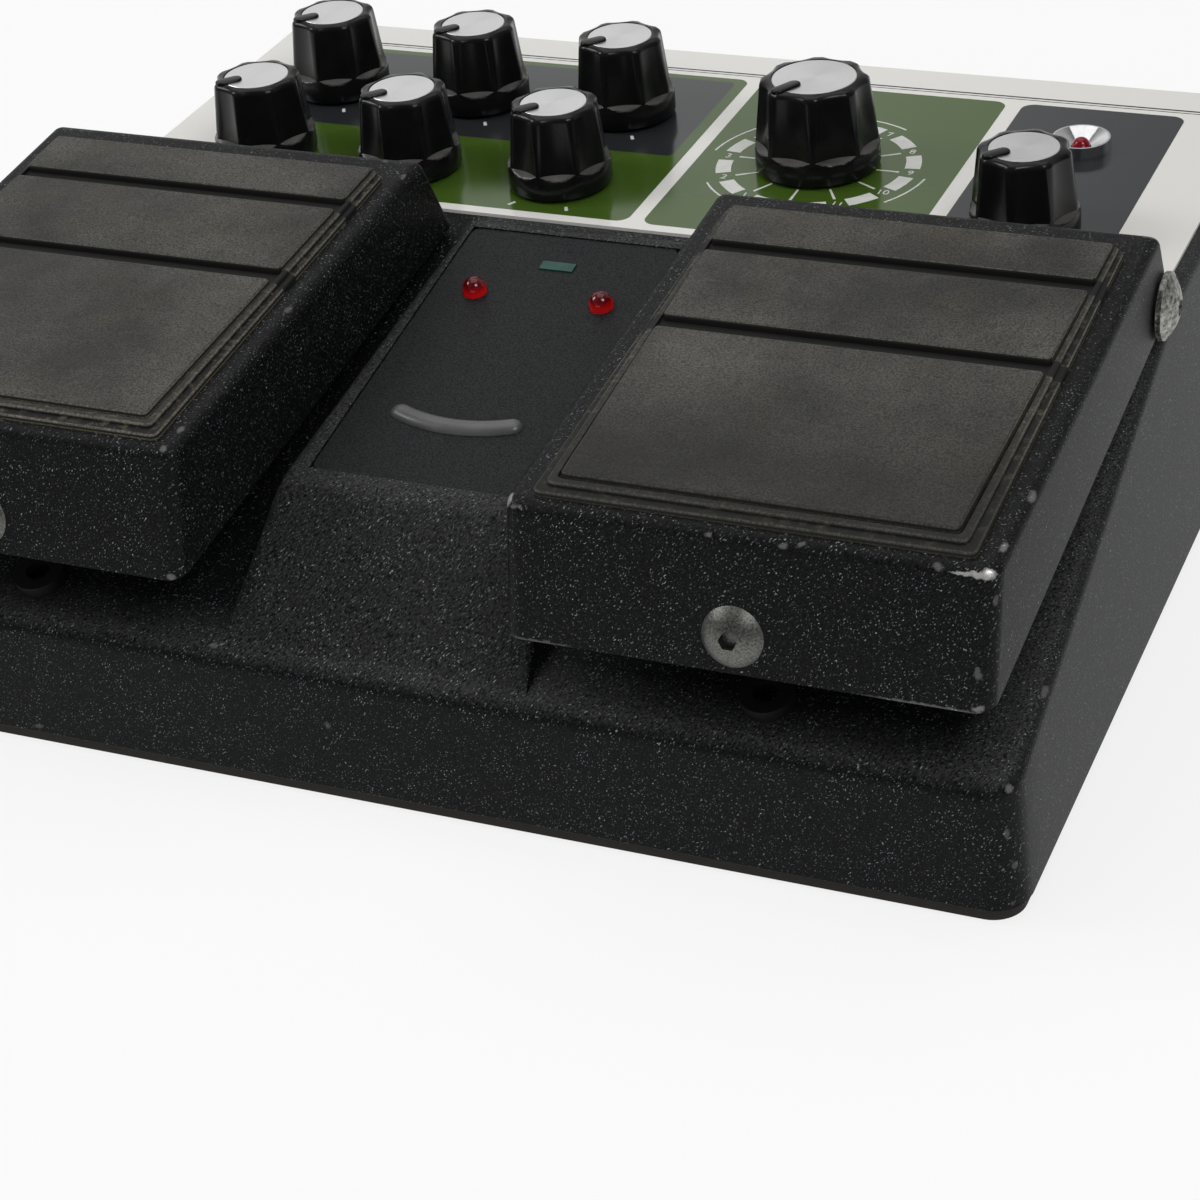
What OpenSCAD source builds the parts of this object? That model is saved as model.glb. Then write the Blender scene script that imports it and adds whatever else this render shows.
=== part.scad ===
// Twin-pedal echo unit: die-cast case, two sprung foot pedals, eight knobs, rear sockets.
// Frame: +X to the right, +Y to the rear, +Z up, origin at the middle of the footprint.

/* [Case] */
// Width of the case at its foot
case_w = 173; // [168:0.5:178]
// Front edge of the case foot, ahead of the origin
case_front = 76.2; // [75:0.1:77.5]
// Rear wall of the case, behind the origin
case_rear = 75.5; // [75:0.1:77]
// Height of the control platform under its plate
case_top = 42.2; // [41.5:0.1:43]
// Wall thickness of the casting
case_wall = 2.5; // [2:0.1:3]
// Radius of the upright corners
case_corner = 5; // [4:0.5:7]
// Draft angle of the front and the sides
case_draft = 3.6; // [2.5:0.1:4]
// Height of the front edge of the deck
deck_front_z = 19.1; // [18:0.1:20]
// Slope of the deck
deck_slope = 15.27; // [14.8:0.01:15.6]

/* [Console] */
// Rear edge of the console ridge
console_rear_y = 2.4; // [1:0.1:3.5]
// Run-out of the console's rear wall behind that edge
console_rear_lean = 0.8; // [0.5:0.1:1.5]
// Height of the console's rear edge
console_rear_z = 46; // [45:0.1:47]
// Slope of the console's top
console_slope = 9.65; // [9:0.05:10.5]
// Length of the console's top, measured level
console_l = 58.9; // [57:0.1:61]
// Where the console's front meets the deck, ahead of the origin
console_foot = 72.8; // [71:0.1:74]
// Width of the console at its rear top edge
console_top_w = 35; // [34.5:0.1:36]
// Width of the console at its foot
console_foot_w = 44.6; // [42:0.1:45]
// Width of the label plate
label_w = 31.8; // [30:0.1:32.5]
// Length of the label plate along the slope
label_l = 54.8; // [53:0.1:55.5]
// Distance from the console's rear edge to the label plate
label_back = 2.4; // [1.5:0.1:3]
// Thickness of the label plate
label_t = 0.4; // [0.3:0.05:0.5]
// Corner radius of the label plate
label_corner = 1.5; // [1:0.1:3]
// Depth of the recess that the label plate lies in
label_recess = 0.6; // [0.5:0.05:0.8]

/* [Lamps] */
// Diameter of the red dome lamps
lamp_d = 3.4; // [3:0.1:5]
// Height of the lamp's straight part above the label plate
lamp_stand = 0.5; // [0.3:0.1:1]
// Width of the hidden flange round a console lamp
lamp_flange = 0.6; // [0.4:0.1:0.8]
// Thickness of that flange
lamp_flange_t = 1; // [0.6:0.1:1.4]
// Distance between the red lamps
lamp_gap = 19.2; // [17:0.1:22]
// Distance of the red lamps from the console's rear edge, along the slope
lamp_back = 16.7; // [14:0.1:18]
// Width of the power lamp
power_w = 5; // [4.4:0.1:7]
// Depth of the power lamp
power_d = 1.8; // [1.6:0.1:2.6]
// Height of the power lamp over the label plate
power_proud = 0.2; // [0.1:0.05:0.4]
// Distance of the power lamp from the console's rear edge, along the slope
power_back = 9.3; // [8:0.1:11]
// Span of the crescent bar between the centres of its ends
crescent_span = 18; // [16:0.1:19]
// Bow of the crescent bar
crescent_bow = 2.9; // [2.2:0.1:4]
// Width of the crescent bar
crescent_w = 2.4; // [1.8:0.1:3]
// Height of the crescent bar over the label plate
crescent_h = 1; // [0.6:0.1:1.2]
// Distance of the crescent's ends from the console's rear edge, along the slope
crescent_back = 42.6; // [41:0.1:44]
// Radius of the peak lamp's bezel at the panel
bezel_r = 4.4; // [4:0.1:5]
// Height of the bezel over the panel
bezel_h = 1.9; // [1.7:0.1:2.4]
// Height of the bezel's straight foot
bezel_foot = 0.4; // [0.3:0.1:0.8]
// Taper of the bezel's cone, on the radius
bezel_cone = 0.1; // [0.1:0.1:0.4]
// Width of the bezel's top rim, and its wall round the stem
bezel_rim = 0.3; // [0.3:0.05:0.4]
// Height of the lens's seat over the panel
lens_z = 0.4; // [0.3:0.1:0.6]
// Distance of the peak lamp from the panel's right edge
peak_in = 22.3; // [20:0.1:24]
// Place of the peak lamp, to the rear
peak_y = 50.1; // [48:0.1:52]

/* [Pedals] */
// Inner side of each pedal, from the middle of the unit
pedal_in = 22.5; // [22.5:0.1:23.5]
// Distance of each pedal's outer side inside the case's foot
pedal_inset = 2.7; // [2.7:0.1:4]
// Front edge of the tread, ahead of the origin
pedal_front = 74.6; // [73.5:0.1:75.5]
// Height of the tread's front edge
pedal_front_z = 49.3; // [48:0.1:50.5]
// Slope of the tread
pedal_slope = 4.88; // [4.5:0.02:5.2]
// Rear edge of the tread, ahead of the origin
pedal_rear = 0.6; // [0:0.1:1.5]
// Lower front lip, ahead of the origin
lip_front = 78.2; // [77.5:0.1:78.5]
// Height of the lower front lip
lip_z = 32.2; // [31:0.1:33]
// Slope of the lower side edge
skirt_slope = 7; // [6.6:0.1:7.2]
// Heel of the pedal behind the origin
heel_y = 6.2; // [5.5:0.1:6.6]
// Wall thickness of a pedal
pedal_wall = 2.5; // [2.2:0.1:3]
// Height of the hinge axis
hinge_z = 45.2; // [44.5:0.1:46]
// Distance of the hinge axis ahead of the origin
hinge_front = 0.4; // [0:0.1:1]
// Diameter of the hinge screw's shank and of the inner pin
hinge_d = 4; // [3.5:0.1:4.2]
// Outer diameter of the hinge bosses
hinge_boss_d = 6.8; // [6.4:0.1:7]
// Length of the hinge bosses on the deck
hinge_boss_l = 6.5; // [5:0.1:7.5]
// Length of the hub inside the pedal's inner wall
hinge_hub_l = 3; // [2.5:0.1:4]
// Length of the inner pin in the pedal
hinge_pin_in = 3.6; // [3:0.1:4]
// Diameter of the hinge bush
bush_d = 6; // [5.6:0.1:6.2]
// Diameter of the hinge screw's flange
hinge_head_d = 9.2; // [8.6:0.1:9.6]
// Height of the hinge screw's head
hinge_head_h = 2.4; // [2:0.1:2.4]
// Thickness of the hinge screw's flange
hinge_flange_t = 0.7; // [0.5:0.1:0.9]
// Ledge of that flange round the head
hinge_flange_ledge = 0.2; // [0.1:0.1:0.4]
// Width of the hex sockets in the screw heads, over corners
hex_d = 2.4; // [2:0.1:3]
// Depth of the hex sockets
hex_depth = 1.3; // [0.8:0.1:1.4]
// Running clearance on the hinge and shaft radii
run_clear = 0.05; // [0.02:0.01:0.08]
// Clearance between parts that move past each other
move_clear = 0.35; // [0.3:0.05:0.5]

/* [Treads] */
// Distance of the tread pad from the pedal's inner side
pad_inner_edge = 3.3; // [2.5:0.1:4]
// Distance of the tread pad from the pedal's outer side
pad_outer_edge = 3.2; // [2.5:0.1:4]
// Front edge of the pad behind the tread's front edge
pad_front = 1.7; // [1:0.1:2.5]
// Length of the pad
pad_l = 65.3; // [63:0.1:67]
// Thickness of the pad's border
pad_t = 1.4; // [1:0.1:1.8]
// Corner radius of the pad
pad_corner = 1; // [0.5:0.1:2]
// Height of the raised sections over the border
pad_raise = 0.6; // [0.3:0.1:0.8]
// Width of the stepped border at the front and the sides
pad_border = 2.6; // [2:0.1:3.5]
// Length of the front raised section
pad_front_l = 33.2; // [31:0.1:35]
// Length of the middle raised section
pad_mid_l = 16.4; // [15:0.1:18]
// Width of the grooves between the raised sections
pad_groove = 2.4; // [1.5:0.1:3]

/* [Foot switches] */
// Distance of the stop screw and the bump stop inside the pedal's middle
stop_in = 0.95; // [0:0.05:2]
// Height of the stop screw's head on the front wall
stop_z = 36.8; // [36.4:0.1:38]
// Diameter of the stop screw's head
stop_head_d = 7.8; // [7:0.1:8]
// Height of the stop screw's head
stop_head_h = 1.8; // [1.4:0.1:2]
// Diameter of the stop screw's shank
stop_d = 4; // [3:0.1:4]
// Length of the stop screw's shank
stop_l = 5; // [4:0.1:6]
// Distance of the bump stop ahead of the origin
bump_front = 67.5; // [66:0.1:69]
// Outer diameter of the bump stop
bump_d = 7; // [6:0.1:8]
// Diameter of the pedal's post over the bump stop
stop_post_d = 6; // [5:0.1:7]
// Hole in the bump stop
bump_hole_d = 3.3; // [2.5:0.1:4]
// Height of the bump stop
bump_h = 1.8; // [1.2:0.1:2.2]
// Pedal travel
pedal_travel = 3; // [2:0.1:3]
// Distance of the spring and the switch ahead of the origin
spring_front = 39.2; // [38:0.1:41]
// Height of the spring's seat on the deck
spring_seat_z = 31.5; // [31.5:0.1:33]
// Height of the spring's upper seat
spring_top_z = 48; // [47:0.1:48.5]
// Mean radius of the return spring
spring_r = 5.2; // [5:0.1:6]
// Diameter of the spring wire
spring_wire = 1.2; // [1:0.1:1.4]
// Clearance at each end of the spring
spring_clear = 0.05; // [0.03:0.01:0.1]
// Ledge of the spring's seat round the spring
spring_ledge = 1; // [0.5:0.1:1.5]
// Number of spring turns
spring_turns = 6; // [4:1:7]
// Diameter of the switch plunger
plunger_d = 5; // [4:0.1:5.4]
// Diameter of the pedal's post over the plunger
switch_post_d = 6; // [5:0.1:6.4]
// Height of the plunger's top
plunger_z = 35.2; // [34.6:0.1:36]
// Width of the foot switch
switch_w = 12; // [11:0.5:13]
// Height of the foot switch
switch_h = 9; // [8.5:0.1:10]
// Height of the seat that the foot switch hangs from
switch_seat_z = 24; // [23:0.1:24.5]

/* [Panel] */
// Distance of the panel plate's sides inside the case's foot
panel_inset = 4.6; // [4:0.1:6]
// Front edge of the panel plate
panel_front = 10; // [9.8:0.1:10.6]
// Rear edge of the panel plate
panel_rear = 73.1; // [72:0.1:73.8]
// Corner radius of the panel plate
panel_corner = 1.5; // [1:0.1:3]
// Thickness of the panel plate
panel_t = 0.5; // [0.4:0.05:0.6]

/* [Knobs] */
// Spacing of the knob columns
knob_pitch = 24.9; // [24:0.1:26]
// Distance of the left knob column from the panel's left edge
knob_in = 19.9; // [18:0.1:21]
// Place of the front knob row
row_front = 22.2; // [21:0.1:23]
// Place of the rear knob row
row_rear = 47.8; // [46:0.1:49]
// Distance of the input knob from the panel's right edge
input_in = 22.7; // [21:0.1:24]
// Place of the input knob, to the rear
input_y = 21.6; // [21:0.1:23]
// Distance of the selector from the panel's right edge
selector_in = 58.5; // [57:0.1:60]
// Place of the selector, to the rear
selector_y = 36.5; // [35:0.1:38]
// Gap between the panel and a knob
knob_gap = 0.5; // [0.4:0.1:0.8]
// Height of a small knob
knob_h = 12.8; // [12:0.1:14]
// Skirt diameter of a small knob
knob_skirt_d = 15.6; // [15:0.1:16.5]
// Top diameter of a small knob
knob_top_d = 13; // [12.6:0.1:13.6]
// Disc diameter of a small knob
knob_disc_d = 10; // [9:0.1:10.4]
// Height of the selector
selector_h = 13.8; // [13:0.1:15]
// Skirt diameter of the selector
selector_skirt_d = 18.6; // [18:0.1:19.5]
// Top diameter of the selector
selector_top_d = 15.6; // [15.2:0.1:16.4]
// Disc diameter of the selector
selector_disc_d = 12.6; // [11:0.1:13]
// Height of the knob skirts
skirt_h = 3.2; // [2.6:0.1:4]
// Edge break on the skirts
skirt_edge = 0.3; // [0.2:0.1:0.5]
// Edge break on the knob tops
knob_edge = 0.5; // [0.3:0.1:0.7]
// Step between a knob's skirt and its grip
skirt_step = 0.5; // [0.3:0.1:0.8]
// Number of flutes round a knob
flutes = 8; // [6:1:10]
// Depth of the flutes at the top
flute_depth = 0.45; // [0.3:0.05:0.6]
// Radius of the flute cutter
flute_r = 12; // [10:0.5:14]
// Thickness of the metal discs
disc_t = 0.6; // [0.4:0.1:0.8]
// Width of the pointer bar
pointer_w = 1.5; // [1.2:0.1:2]
// Length of the pointer bar, from the disc's edge inwards
pointer_l = 2.8; // [2:0.1:3.5]
// Clearance round a metal disc
disc_clear = 0.02; // [0.01:0.01:0.05]
// Pointer of the pots at rest, clockwise from the rear
pot_zero = -135; // [-150:1:-120]
// Pointer of the selector at rest, clockwise from the rear
selector_zero = -150; // [-165:1:-135]

/* [Controls inside] */
// Diameter of the control shafts
shaft_d = 6; // [5.6:0.1:6]
// Depth of the flat on the shafts
shaft_flat = 1.2; // [0.8:0.1:1.5]
// Clearance of the knobs' keyed bores
key_clear = 0.02; // [0.01:0.01:0.05]
// Knob material left above the shaft
shaft_cover = 2.6; // [2:0.1:3]
// Diameter of the threaded bushings
bushing_d = 7; // [6.8:0.1:7.4]
// Thread of the bushings showing over the panel nuts
bushing_proud = 0.2; // [0.1:0.1:0.4]
// Width of the panel nuts across flats
nut_flats = 10; // [9.5:0.1:10.5]
// Thickness of the panel nuts
nut_t = 2; // [1.6:0.1:2.2]
// Clearance of the knobs round the panel nuts
nut_clear = 0.4; // [0.3:0.05:0.6]
// Width of a potentiometer
pot_w = 9.8; // [9:0.1:12]
// Depth of a potentiometer
pot_d = 11.5; // [10:0.1:13]
// Height of a potentiometer
pot_h = 6.8; // [6:0.1:8]
// Thickness of the floor under a shaft
pot_floor = 0.5; // [0.4:0.1:1]
// Gap between a shaft's end and that floor
shaft_end_gap = 0.5; // [0.3:0.1:0.8]
// Width of the selector switch
selector_body_w = 17; // [15:0.5:19]
// Distance of the control board's sides inside the case's foot
control_board_inset = 14.5; // [13.5:0.5:16]
// Distance of the control board behind the panel's front edge
control_board_back = 4; // [2:0.5:6]
// Length of the control board
control_board_l = 50; // [46:0.5:51]
// Thickness of the circuit boards
board_t = 1.6; // [1.2:0.1:2]

/* [Sockets] */
// Diameter of the plugs that the audio sockets take
plug_d = 6.5; // [6.4:0.05:6.6]
// Depth of the audio sockets
plug_l = 30; // [28:0.5:31]
// Height of the socket row
socket_z = 18; // [17.5:0.1:19]
// Thickness of the closed end of an audio socket
socket_floor = 1; // [0.6:0.1:2]
// Width of an audio socket
socket_w = 14; // [13:0.1:15]
// Height of an audio socket
socket_h = 12; // [11:0.1:12]
// Diameter of the socket's thread
socket_thread_d = 11; // [10:0.1:11.5]
// Socket thread showing behind the case
socket_nose = 3.5; // [3:0.1:4]
// Width of the socket nuts across flats
socket_nut_flats = 14; // [13:0.1:15]
// Thickness of the socket nuts
socket_nut_t = 2.2; // [1.8:0.1:2.6]
// Spacing of a pair of sockets
socket_pitch = 22; // [18:0.5:22]
// Distance of the first input socket inside the case's foot
input_socket_in = 24.5; // [22.5:0.5:28]
// Place of the control socket
control_socket_x = 8; // [4:0.5:12]
// Distance of the power inlet inside the case's foot
power_in = 22.5; // [20.5:0.5:26]
// Distance of the first output socket from the power inlet
output_socket_in = 46; // [44:0.5:50]
// Width of the power inlet
inlet_w = 9; // [9:0.5:11]
// Length of the power inlet inside the case
inlet_l = 12; // [11:0.5:14]
// Diameter of the power inlet's collar in the rear wall
inlet_collar_d = 9; // [8:0.1:10]
// Height of that collar over the rear wall
inlet_proud = 0.3; // [0.2:0.1:0.8]
// Depth of the centre pin's tip below the collar
inlet_pin_recess = 1; // [0.5:0.1:2]
// Diameter of the power plug's barrel bore
power_bore_d = 5.7; // [5.5:0.1:6]
// Diameter of the power inlet's centre pin
power_pin_d = 2.1; // [1.9:0.1:2.5]
// Depth of the power inlet
power_l = 10; // [9:0.5:12]
// Distance of the main board's sides inside the case's foot
main_board_inset = 13.5; // [13:0.5:14.5]
// Front edge of the main board
main_board_front = 22; // [20:0.5:24]
// Gap between the main board and the rear wall
main_board_gap = 3; // [2:0.5:5]
// Distance of the board posts from the main board's edges
board_post_in = 6; // [4:0.5:8]
// Diameter of the board posts
board_post_d = 5; // [4:0.5:6]
// Thickness of the ribbon and of the switch leads
lead_t = 0.8; // [0.6:0.1:1]
// Width of the ribbon between the boards
ribbon_w = 24; // [20:1:30]
// Distance of the ribbon behind the main board's front edge
ribbon_back = 4; // [3.5:0.5:8]
// Width of the switch leads
lead_w = 6; // [4:0.5:8]
// Lap of the switch leads on the main board
lead_lap = 3; // [2:0.5:3]

/* [Base] */
// Thickness of the rubber sheet under the case
sheet_t = 1.5; // [1.2:0.1:1.8]
// Inset of the rubber sheet from the case's foot
sheet_inset = 0.8; // [0.4:0.1:1.5]
// Thickness of the base plate
base_t = 1.2; // [1:0.1:1.6]
// Gap between the base plate and the case
base_gap = 0.3; // [0.2:0.1:0.5]
// Corner radius of the base plate
base_corner = 2; // [1:0.5:3]
// Diameter of the base screws
base_screw_d = 3; // [2.6:0.1:3.2]
// Head diameter of the base screws
base_head_d = 5.8; // [5.2:0.1:6.2]
// Clearance round the base screws' shanks in the base plate
base_hole_clear = 0.2; // [0.1:0.1:0.3]
// Clearance round the base screws' heads in the rubber sheet
base_head_clear = 0.5; // [0.3:0.1:0.8]
// Depth of those heads in the rubber sheet
base_head_recess = 0.2; // [0.1:0.1:0.4]
// Room under the tips of the base screws
base_screw_room = 1; // [0.5:0.1:2]
// Length of the base screws in the case
base_screw_l = 9; // [7:0.5:10]
// Diameter of the screw bosses
base_boss_d = 7; // [6.5:0.1:7.5]
// Distance of the screw bosses inside the case's sides
base_boss_side = 8.5; // [8:0.1:9]
// Distance of the front screw bosses inside the case's front
base_boss_front = 8.2; // [7.2:0.1:10]
// Distance of the rear screw bosses inside the rear wall
base_boss_rear = 7.5; // [6.5:0.1:9.5]
// General clearance between fixed parts
fit_clear = 0.1; // [0.05:0.01:0.15]

/* [Hidden] */
$fn = 64;
// Overlap of solids that merge
eps = 0.01;
// Overrun of cutters, and of solids that sink into the case
over = 1;
// Sides of the case's upright corners
corner_sides = 32;

foot_z = sheet_t;
half_w = case_w / 2;
front_y = -case_front;
draft = tan(case_draft);
top_in = draft * (case_top - foot_z);
deck_front_y = front_y + draft * (deck_front_z - foot_z);
platform_y = deck_front_y + (case_top - deck_front_z) / tan(deck_slope);
panel_top = case_top + panel_t;
panel_half = half_w - panel_inset;
peak_x = panel_half - peak_in;
roof_z = case_top - case_wall;
base_top = foot_z + base_t;

function deck_z(y) = deck_front_z + (y - deck_front_y) * tan(deck_slope);

console_front_y = console_rear_y - console_l;
console_front_z = console_rear_z - console_l * tan(console_slope);
console_drop = case_wall + label_recess;

tread_front_y = -pedal_front;
tread_rear_y = -pedal_rear;
lip_y = -lip_front;
hinge_y = -hinge_front;
pedal_out = half_w - pedal_inset;
pedal_mid = (pedal_in + pedal_out) / 2;
pad_in = pedal_in + pad_inner_edge;
pad_out = pedal_out - pad_outer_edge;
stop_x = pedal_mid - stop_in;
spring_y = -spring_front;
bump_y = -bump_front;
front_lean = atan((tread_front_y - lip_y) / (pedal_front_z - lip_z));
stop_y = lip_y + (stop_z - lip_z) * tan(front_lean);

function tread_z(y) = pedal_front_z + (y - tread_front_y) * tan(pedal_slope);
function skirt_z(y) = lip_z + (y - lip_y) * tan(skirt_slope);

hinge_boss_out = pedal_out - pedal_wall - move_clear;
hinge_inner_face = pedal_in + pedal_wall + hinge_hub_l;
hinge_inner_boss = hinge_inner_face + move_clear;
hinge_head_x = pedal_out + move_clear;

bump_top = deck_z(bump_y) + bump_h / cos(deck_slope) + bump_d / 2 * sin(deck_slope);
bump_drop = (bump_front - hinge_front) * sin(pedal_travel);
stop_post_z = bump_top + bump_drop + move_clear;
guide_drop = (spring_front - hinge_front) * sin(pedal_travel);
switch_post_z = plunger_z + move_clear;
plunger_low = switch_seat_z - switch_h / 2;

bezel_stem_r = 0.4 * bezel_r;
lens_r = bezel_stem_r - bezel_rim - fit_clear;
knob_z = panel_top + knob_gap;
bushing_top = panel_top + nut_t + bushing_proud;
nut_r = nut_flats / 2 / cos(30);
knob_hollow_z = bushing_top + move_clear;
pot_z = roof_z - pot_h;
shaft_low = pot_z + pot_floor + shaft_end_gap;
control_board_z = pot_z - board_t;
control_board_y = panel_front + control_board_back;
control_board_w = case_w - 2 * control_board_inset;

// Places of the controls on the panel.
knob_col = knob_in - panel_half;
bass_at = [knob_col, row_rear];
treble_at = [knob_col + knob_pitch, row_rear];
reverb_at = [knob_col + 2 * knob_pitch, row_rear];
rate_at = [knob_col, row_front];
intensity_at = [knob_col + knob_pitch, row_front];
echo_at = [knob_col + 2 * knob_pitch, row_front];
input_at = [panel_half - input_in, input_y];
selector_at = [panel_half - selector_in, selector_y];
pots_at = [bass_at, treble_at, reverb_at, rate_at, intensity_at, echo_at, input_at];
controls_at = concat(pots_at, [selector_at]);

main_board_z = socket_z - socket_h / 2 - board_t;
rear_in = case_rear - case_wall;
main_board_rear = rear_in - main_board_gap;
main_board_w = case_w - 2 * main_board_inset;
input_socket_x = half_w - input_socket_in;
power_x = power_in - half_w;
output_socket_x = power_x + output_socket_in;
sockets_x = [input_socket_x, input_socket_x - socket_pitch, control_socket_x, output_socket_x,
             output_socket_x - socket_pitch];
socket_nut_r = socket_nut_flats / 2 / cos(30);
base_boss_x = half_w - base_boss_side;
bosses_at = [for (x = [-base_boss_x, base_boss_x],
                  y = [front_y + base_boss_front, 0, case_rear - base_boss_rear]) [x, y]];
board_post_x = main_board_w / 2 - board_post_in;
posts_at = [for (x = [-board_post_x, board_post_x],
                 y = [main_board_front + board_post_in, main_board_rear - board_post_in]) [x, y]];

// Places its children on the right-hand side and mirrored on the left.
module both_sides() {
    children();
    mirror([1, 0, 0]) children();
}

// Extrudes a side outline, drawn as [y, z], from x0 to x1.
module side_extrude(x0, x1) {
    translate([x0, 0, 0])
        rotate([90, 0, 90])
            linear_extrude(x1 - x0) children();
}

// Frame on the console's sloped top: origin at its rear edge, -Y down the slope.
module on_console() {
    translate([0, console_rear_y, console_rear_z])
        rotate([console_slope, 0, 0]) children();
}

// Frame on the tread: origin at its front edge, +Y up the slope.
module on_tread() {
    translate([0, tread_front_y, pedal_front_z])
        rotate([pedal_slope, 0, 0]) children();
}

// Rounded plate in the XY plane.
module rounded_plate(x0, x1, y0, y1, r, t) {
    translate([x0 + r, y0, 0]) cube([x1 - x0 - 2 * r, y1 - y0, t]);
    translate([x0, y0 + r, 0]) cube([x1 - x0, y1 - y0 - 2 * r, t]);
    for (x = [x0 + r, x1 - r], y = [y0 + r, y1 - r])
        translate([x, y, 0]) cylinder(h = t, r = r);
}

// Drafted block with rounded upright corners, drawn in by inset on every side.
module drafted_block(inset) {
    r = case_corner - inset;
    hull() {
        for (side = [-1, 1]) {
            x0 = side * (half_w - case_corner);
            x1 = side * (half_w - top_in - case_corner);
            foot_front = [x0, front_y + case_corner, foot_z - inset];
            foot_rear = [x0, case_rear - case_corner, foot_z - inset];
            top_front = [x1, front_y + top_in + case_corner, case_top];
            top_rear = [x1, case_rear - case_corner, case_top];
            for (corner = [foot_front, foot_rear, top_front, top_rear])
                translate(corner) cylinder(h = eps, r = r, $fn = corner_sides);
        }
    }
}

// Side outline under the deck and the platform, lowered by drop.
module deck_outline(drop) {
    low = foot_z - case_wall;
    polygon([
        [front_y - over, low], [front_y - over, deck_z(front_y - over) - drop],
        [platform_y, case_top - drop], [case_rear + over, case_top - drop], [case_rear + over, low]
    ]);
}

module console_ridge() {
    intersection() {
        side_extrude(-half_w, half_w) polygon([
            [-console_foot, deck_z(-console_foot) - over], [-console_foot, deck_z(-console_foot)],
            [console_front_y, console_front_z], [console_rear_y, console_rear_z],
            [console_rear_y + console_rear_lean, deck_z(console_rear_y) - over]
        ]);
        console_taper(0);
    }
}

module console_taper(inset) {
    foot = deck_z(-console_foot) - 2 * over;
    translate([0, case_rear, 0])
        rotate([90, 0, 0])
            linear_extrude(case_rear + case_front)
                polygon([
                    [-console_foot_w / 2 + inset, foot], [console_foot_w / 2 - inset, foot],
                    [console_top_w / 2 - inset, console_rear_z], [-console_top_w / 2 + inset, console_rear_z]
                ]);
}

module console_hollow() {
    back = console_rear_y - case_wall;
    start = -console_foot + 3 * case_wall;
    drop = console_drop / cos(console_slope);
    intersection() {
        side_extrude(-half_w, half_w) polygon([
            [start, deck_z(start) - case_wall - over],
            [console_front_y + case_wall, console_front_z + case_wall * tan(console_slope) - drop],
            [back, console_rear_z - case_wall * tan(console_slope) - drop],
            [back, deck_z(back) - case_wall - over]
        ]);
        console_taper(case_wall);
    }
}

// Cylinder on the hinge axis from x0 to x1.
module hinge_cylinder(x0, x1, d) {
    translate([x0, hinge_y, hinge_z]) rotate([0, 90, 0]) cylinder(h = x1 - x0, d = d);
}

// A boss on the deck that carries one end of a pedal's hinge.
module hinge_boss(x0) {
    hinge_cylinder(x0, x0 + hinge_boss_l, hinge_boss_d);
    translate([x0, hinge_y - hinge_boss_d / 2, deck_z(hinge_y) - case_wall])
        cube([hinge_boss_l, hinge_boss_d, hinge_z - deck_z(hinge_y) + case_wall]);
}

module top_case() {
    color("#202224") difference() {
        union() {
            difference() {
                union() {
                    intersection() {
                        drafted_block(0);
                        side_extrude(-half_w, half_w) deck_outline(0);
                    }
                    console_ridge();
                }
                intersection() {
                    drafted_block(case_wall);
                    side_extrude(-half_w, half_w) deck_outline(case_wall);
                }
                console_hollow();
            }
            both_sides() {
                hinge_boss(hinge_boss_out - hinge_boss_l);
                hinge_boss(hinge_inner_boss);
                translate([pedal_mid, spring_y, switch_seat_z])
                    cylinder(h = spring_seat_z - switch_seat_z, r = spring_r + spring_wire + spring_ledge);
            }
            intersection() {
                drafted_block(0);
                side_extrude(-half_w, half_w) deck_outline(eps);
                for (p = bosses_at)
                    translate([p[0], p[1], base_top]) cylinder(h = case_top - base_top, d = base_boss_d);
            }
        }
        for (p = controls_at)
            translate([p[0], p[1], roof_z - over])
                cylinder(h = case_wall + 2 * over, d = bushing_d + 2 * fit_clear);
        translate([peak_x, peak_y, roof_z - over])
            cylinder(h = case_wall + 2 * over, r = bezel_stem_r + fit_clear);
        both_sides() {
            hinge_cylinder(hinge_boss_out - hinge_boss_l - over, hinge_boss_out + over, hinge_d);
            hinge_cylinder(hinge_inner_boss - over, hinge_inner_boss + hinge_boss_l + over, hinge_d);
            translate([pedal_mid, spring_y, switch_seat_z - over])
                cylinder(h = spring_seat_z - switch_seat_z + 2 * over, d = plunger_d + 2 * run_clear);
        }
        for (p = bosses_at)
            translate([p[0], p[1], base_top - over]) cylinder(h = base_screw_l + over, d = base_screw_d);
        for (x = sockets_x) rear_hole(x, socket_thread_d / 2 + fit_clear);
        rear_hole(power_x, inlet_collar_d / 2 + fit_clear);
        on_console() {
            translate([0, 0, -label_recess])
                rounded_plate(-label_w / 2 - fit_clear, label_w / 2 + fit_clear,
                              -label_back - label_l - fit_clear, -label_back + fit_clear,
                              label_corner + fit_clear, label_recess + over);
            console_lamp_holes();
        }
    }
}

module rear_hole(x, r) {
    translate([x, rear_in - over, socket_z])
        rotate([-90, 0, 0]) cylinder(h = case_wall + 2 * over, r = r);
}

module console_lamp_holes() {
    for (x = [-lamp_gap / 2, lamp_gap / 2])
        translate([x, -lamp_back, -console_drop - 2 * over])
            cylinder(h = console_drop + 4 * over, d = lamp_d + 2 * fit_clear);
    translate([-power_w / 2 - fit_clear, -power_back - power_d / 2 - fit_clear, -console_drop - 2 * over])
        cube([power_w + 2 * fit_clear, power_d + 2 * fit_clear, console_drop + 4 * over]);
}

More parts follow.
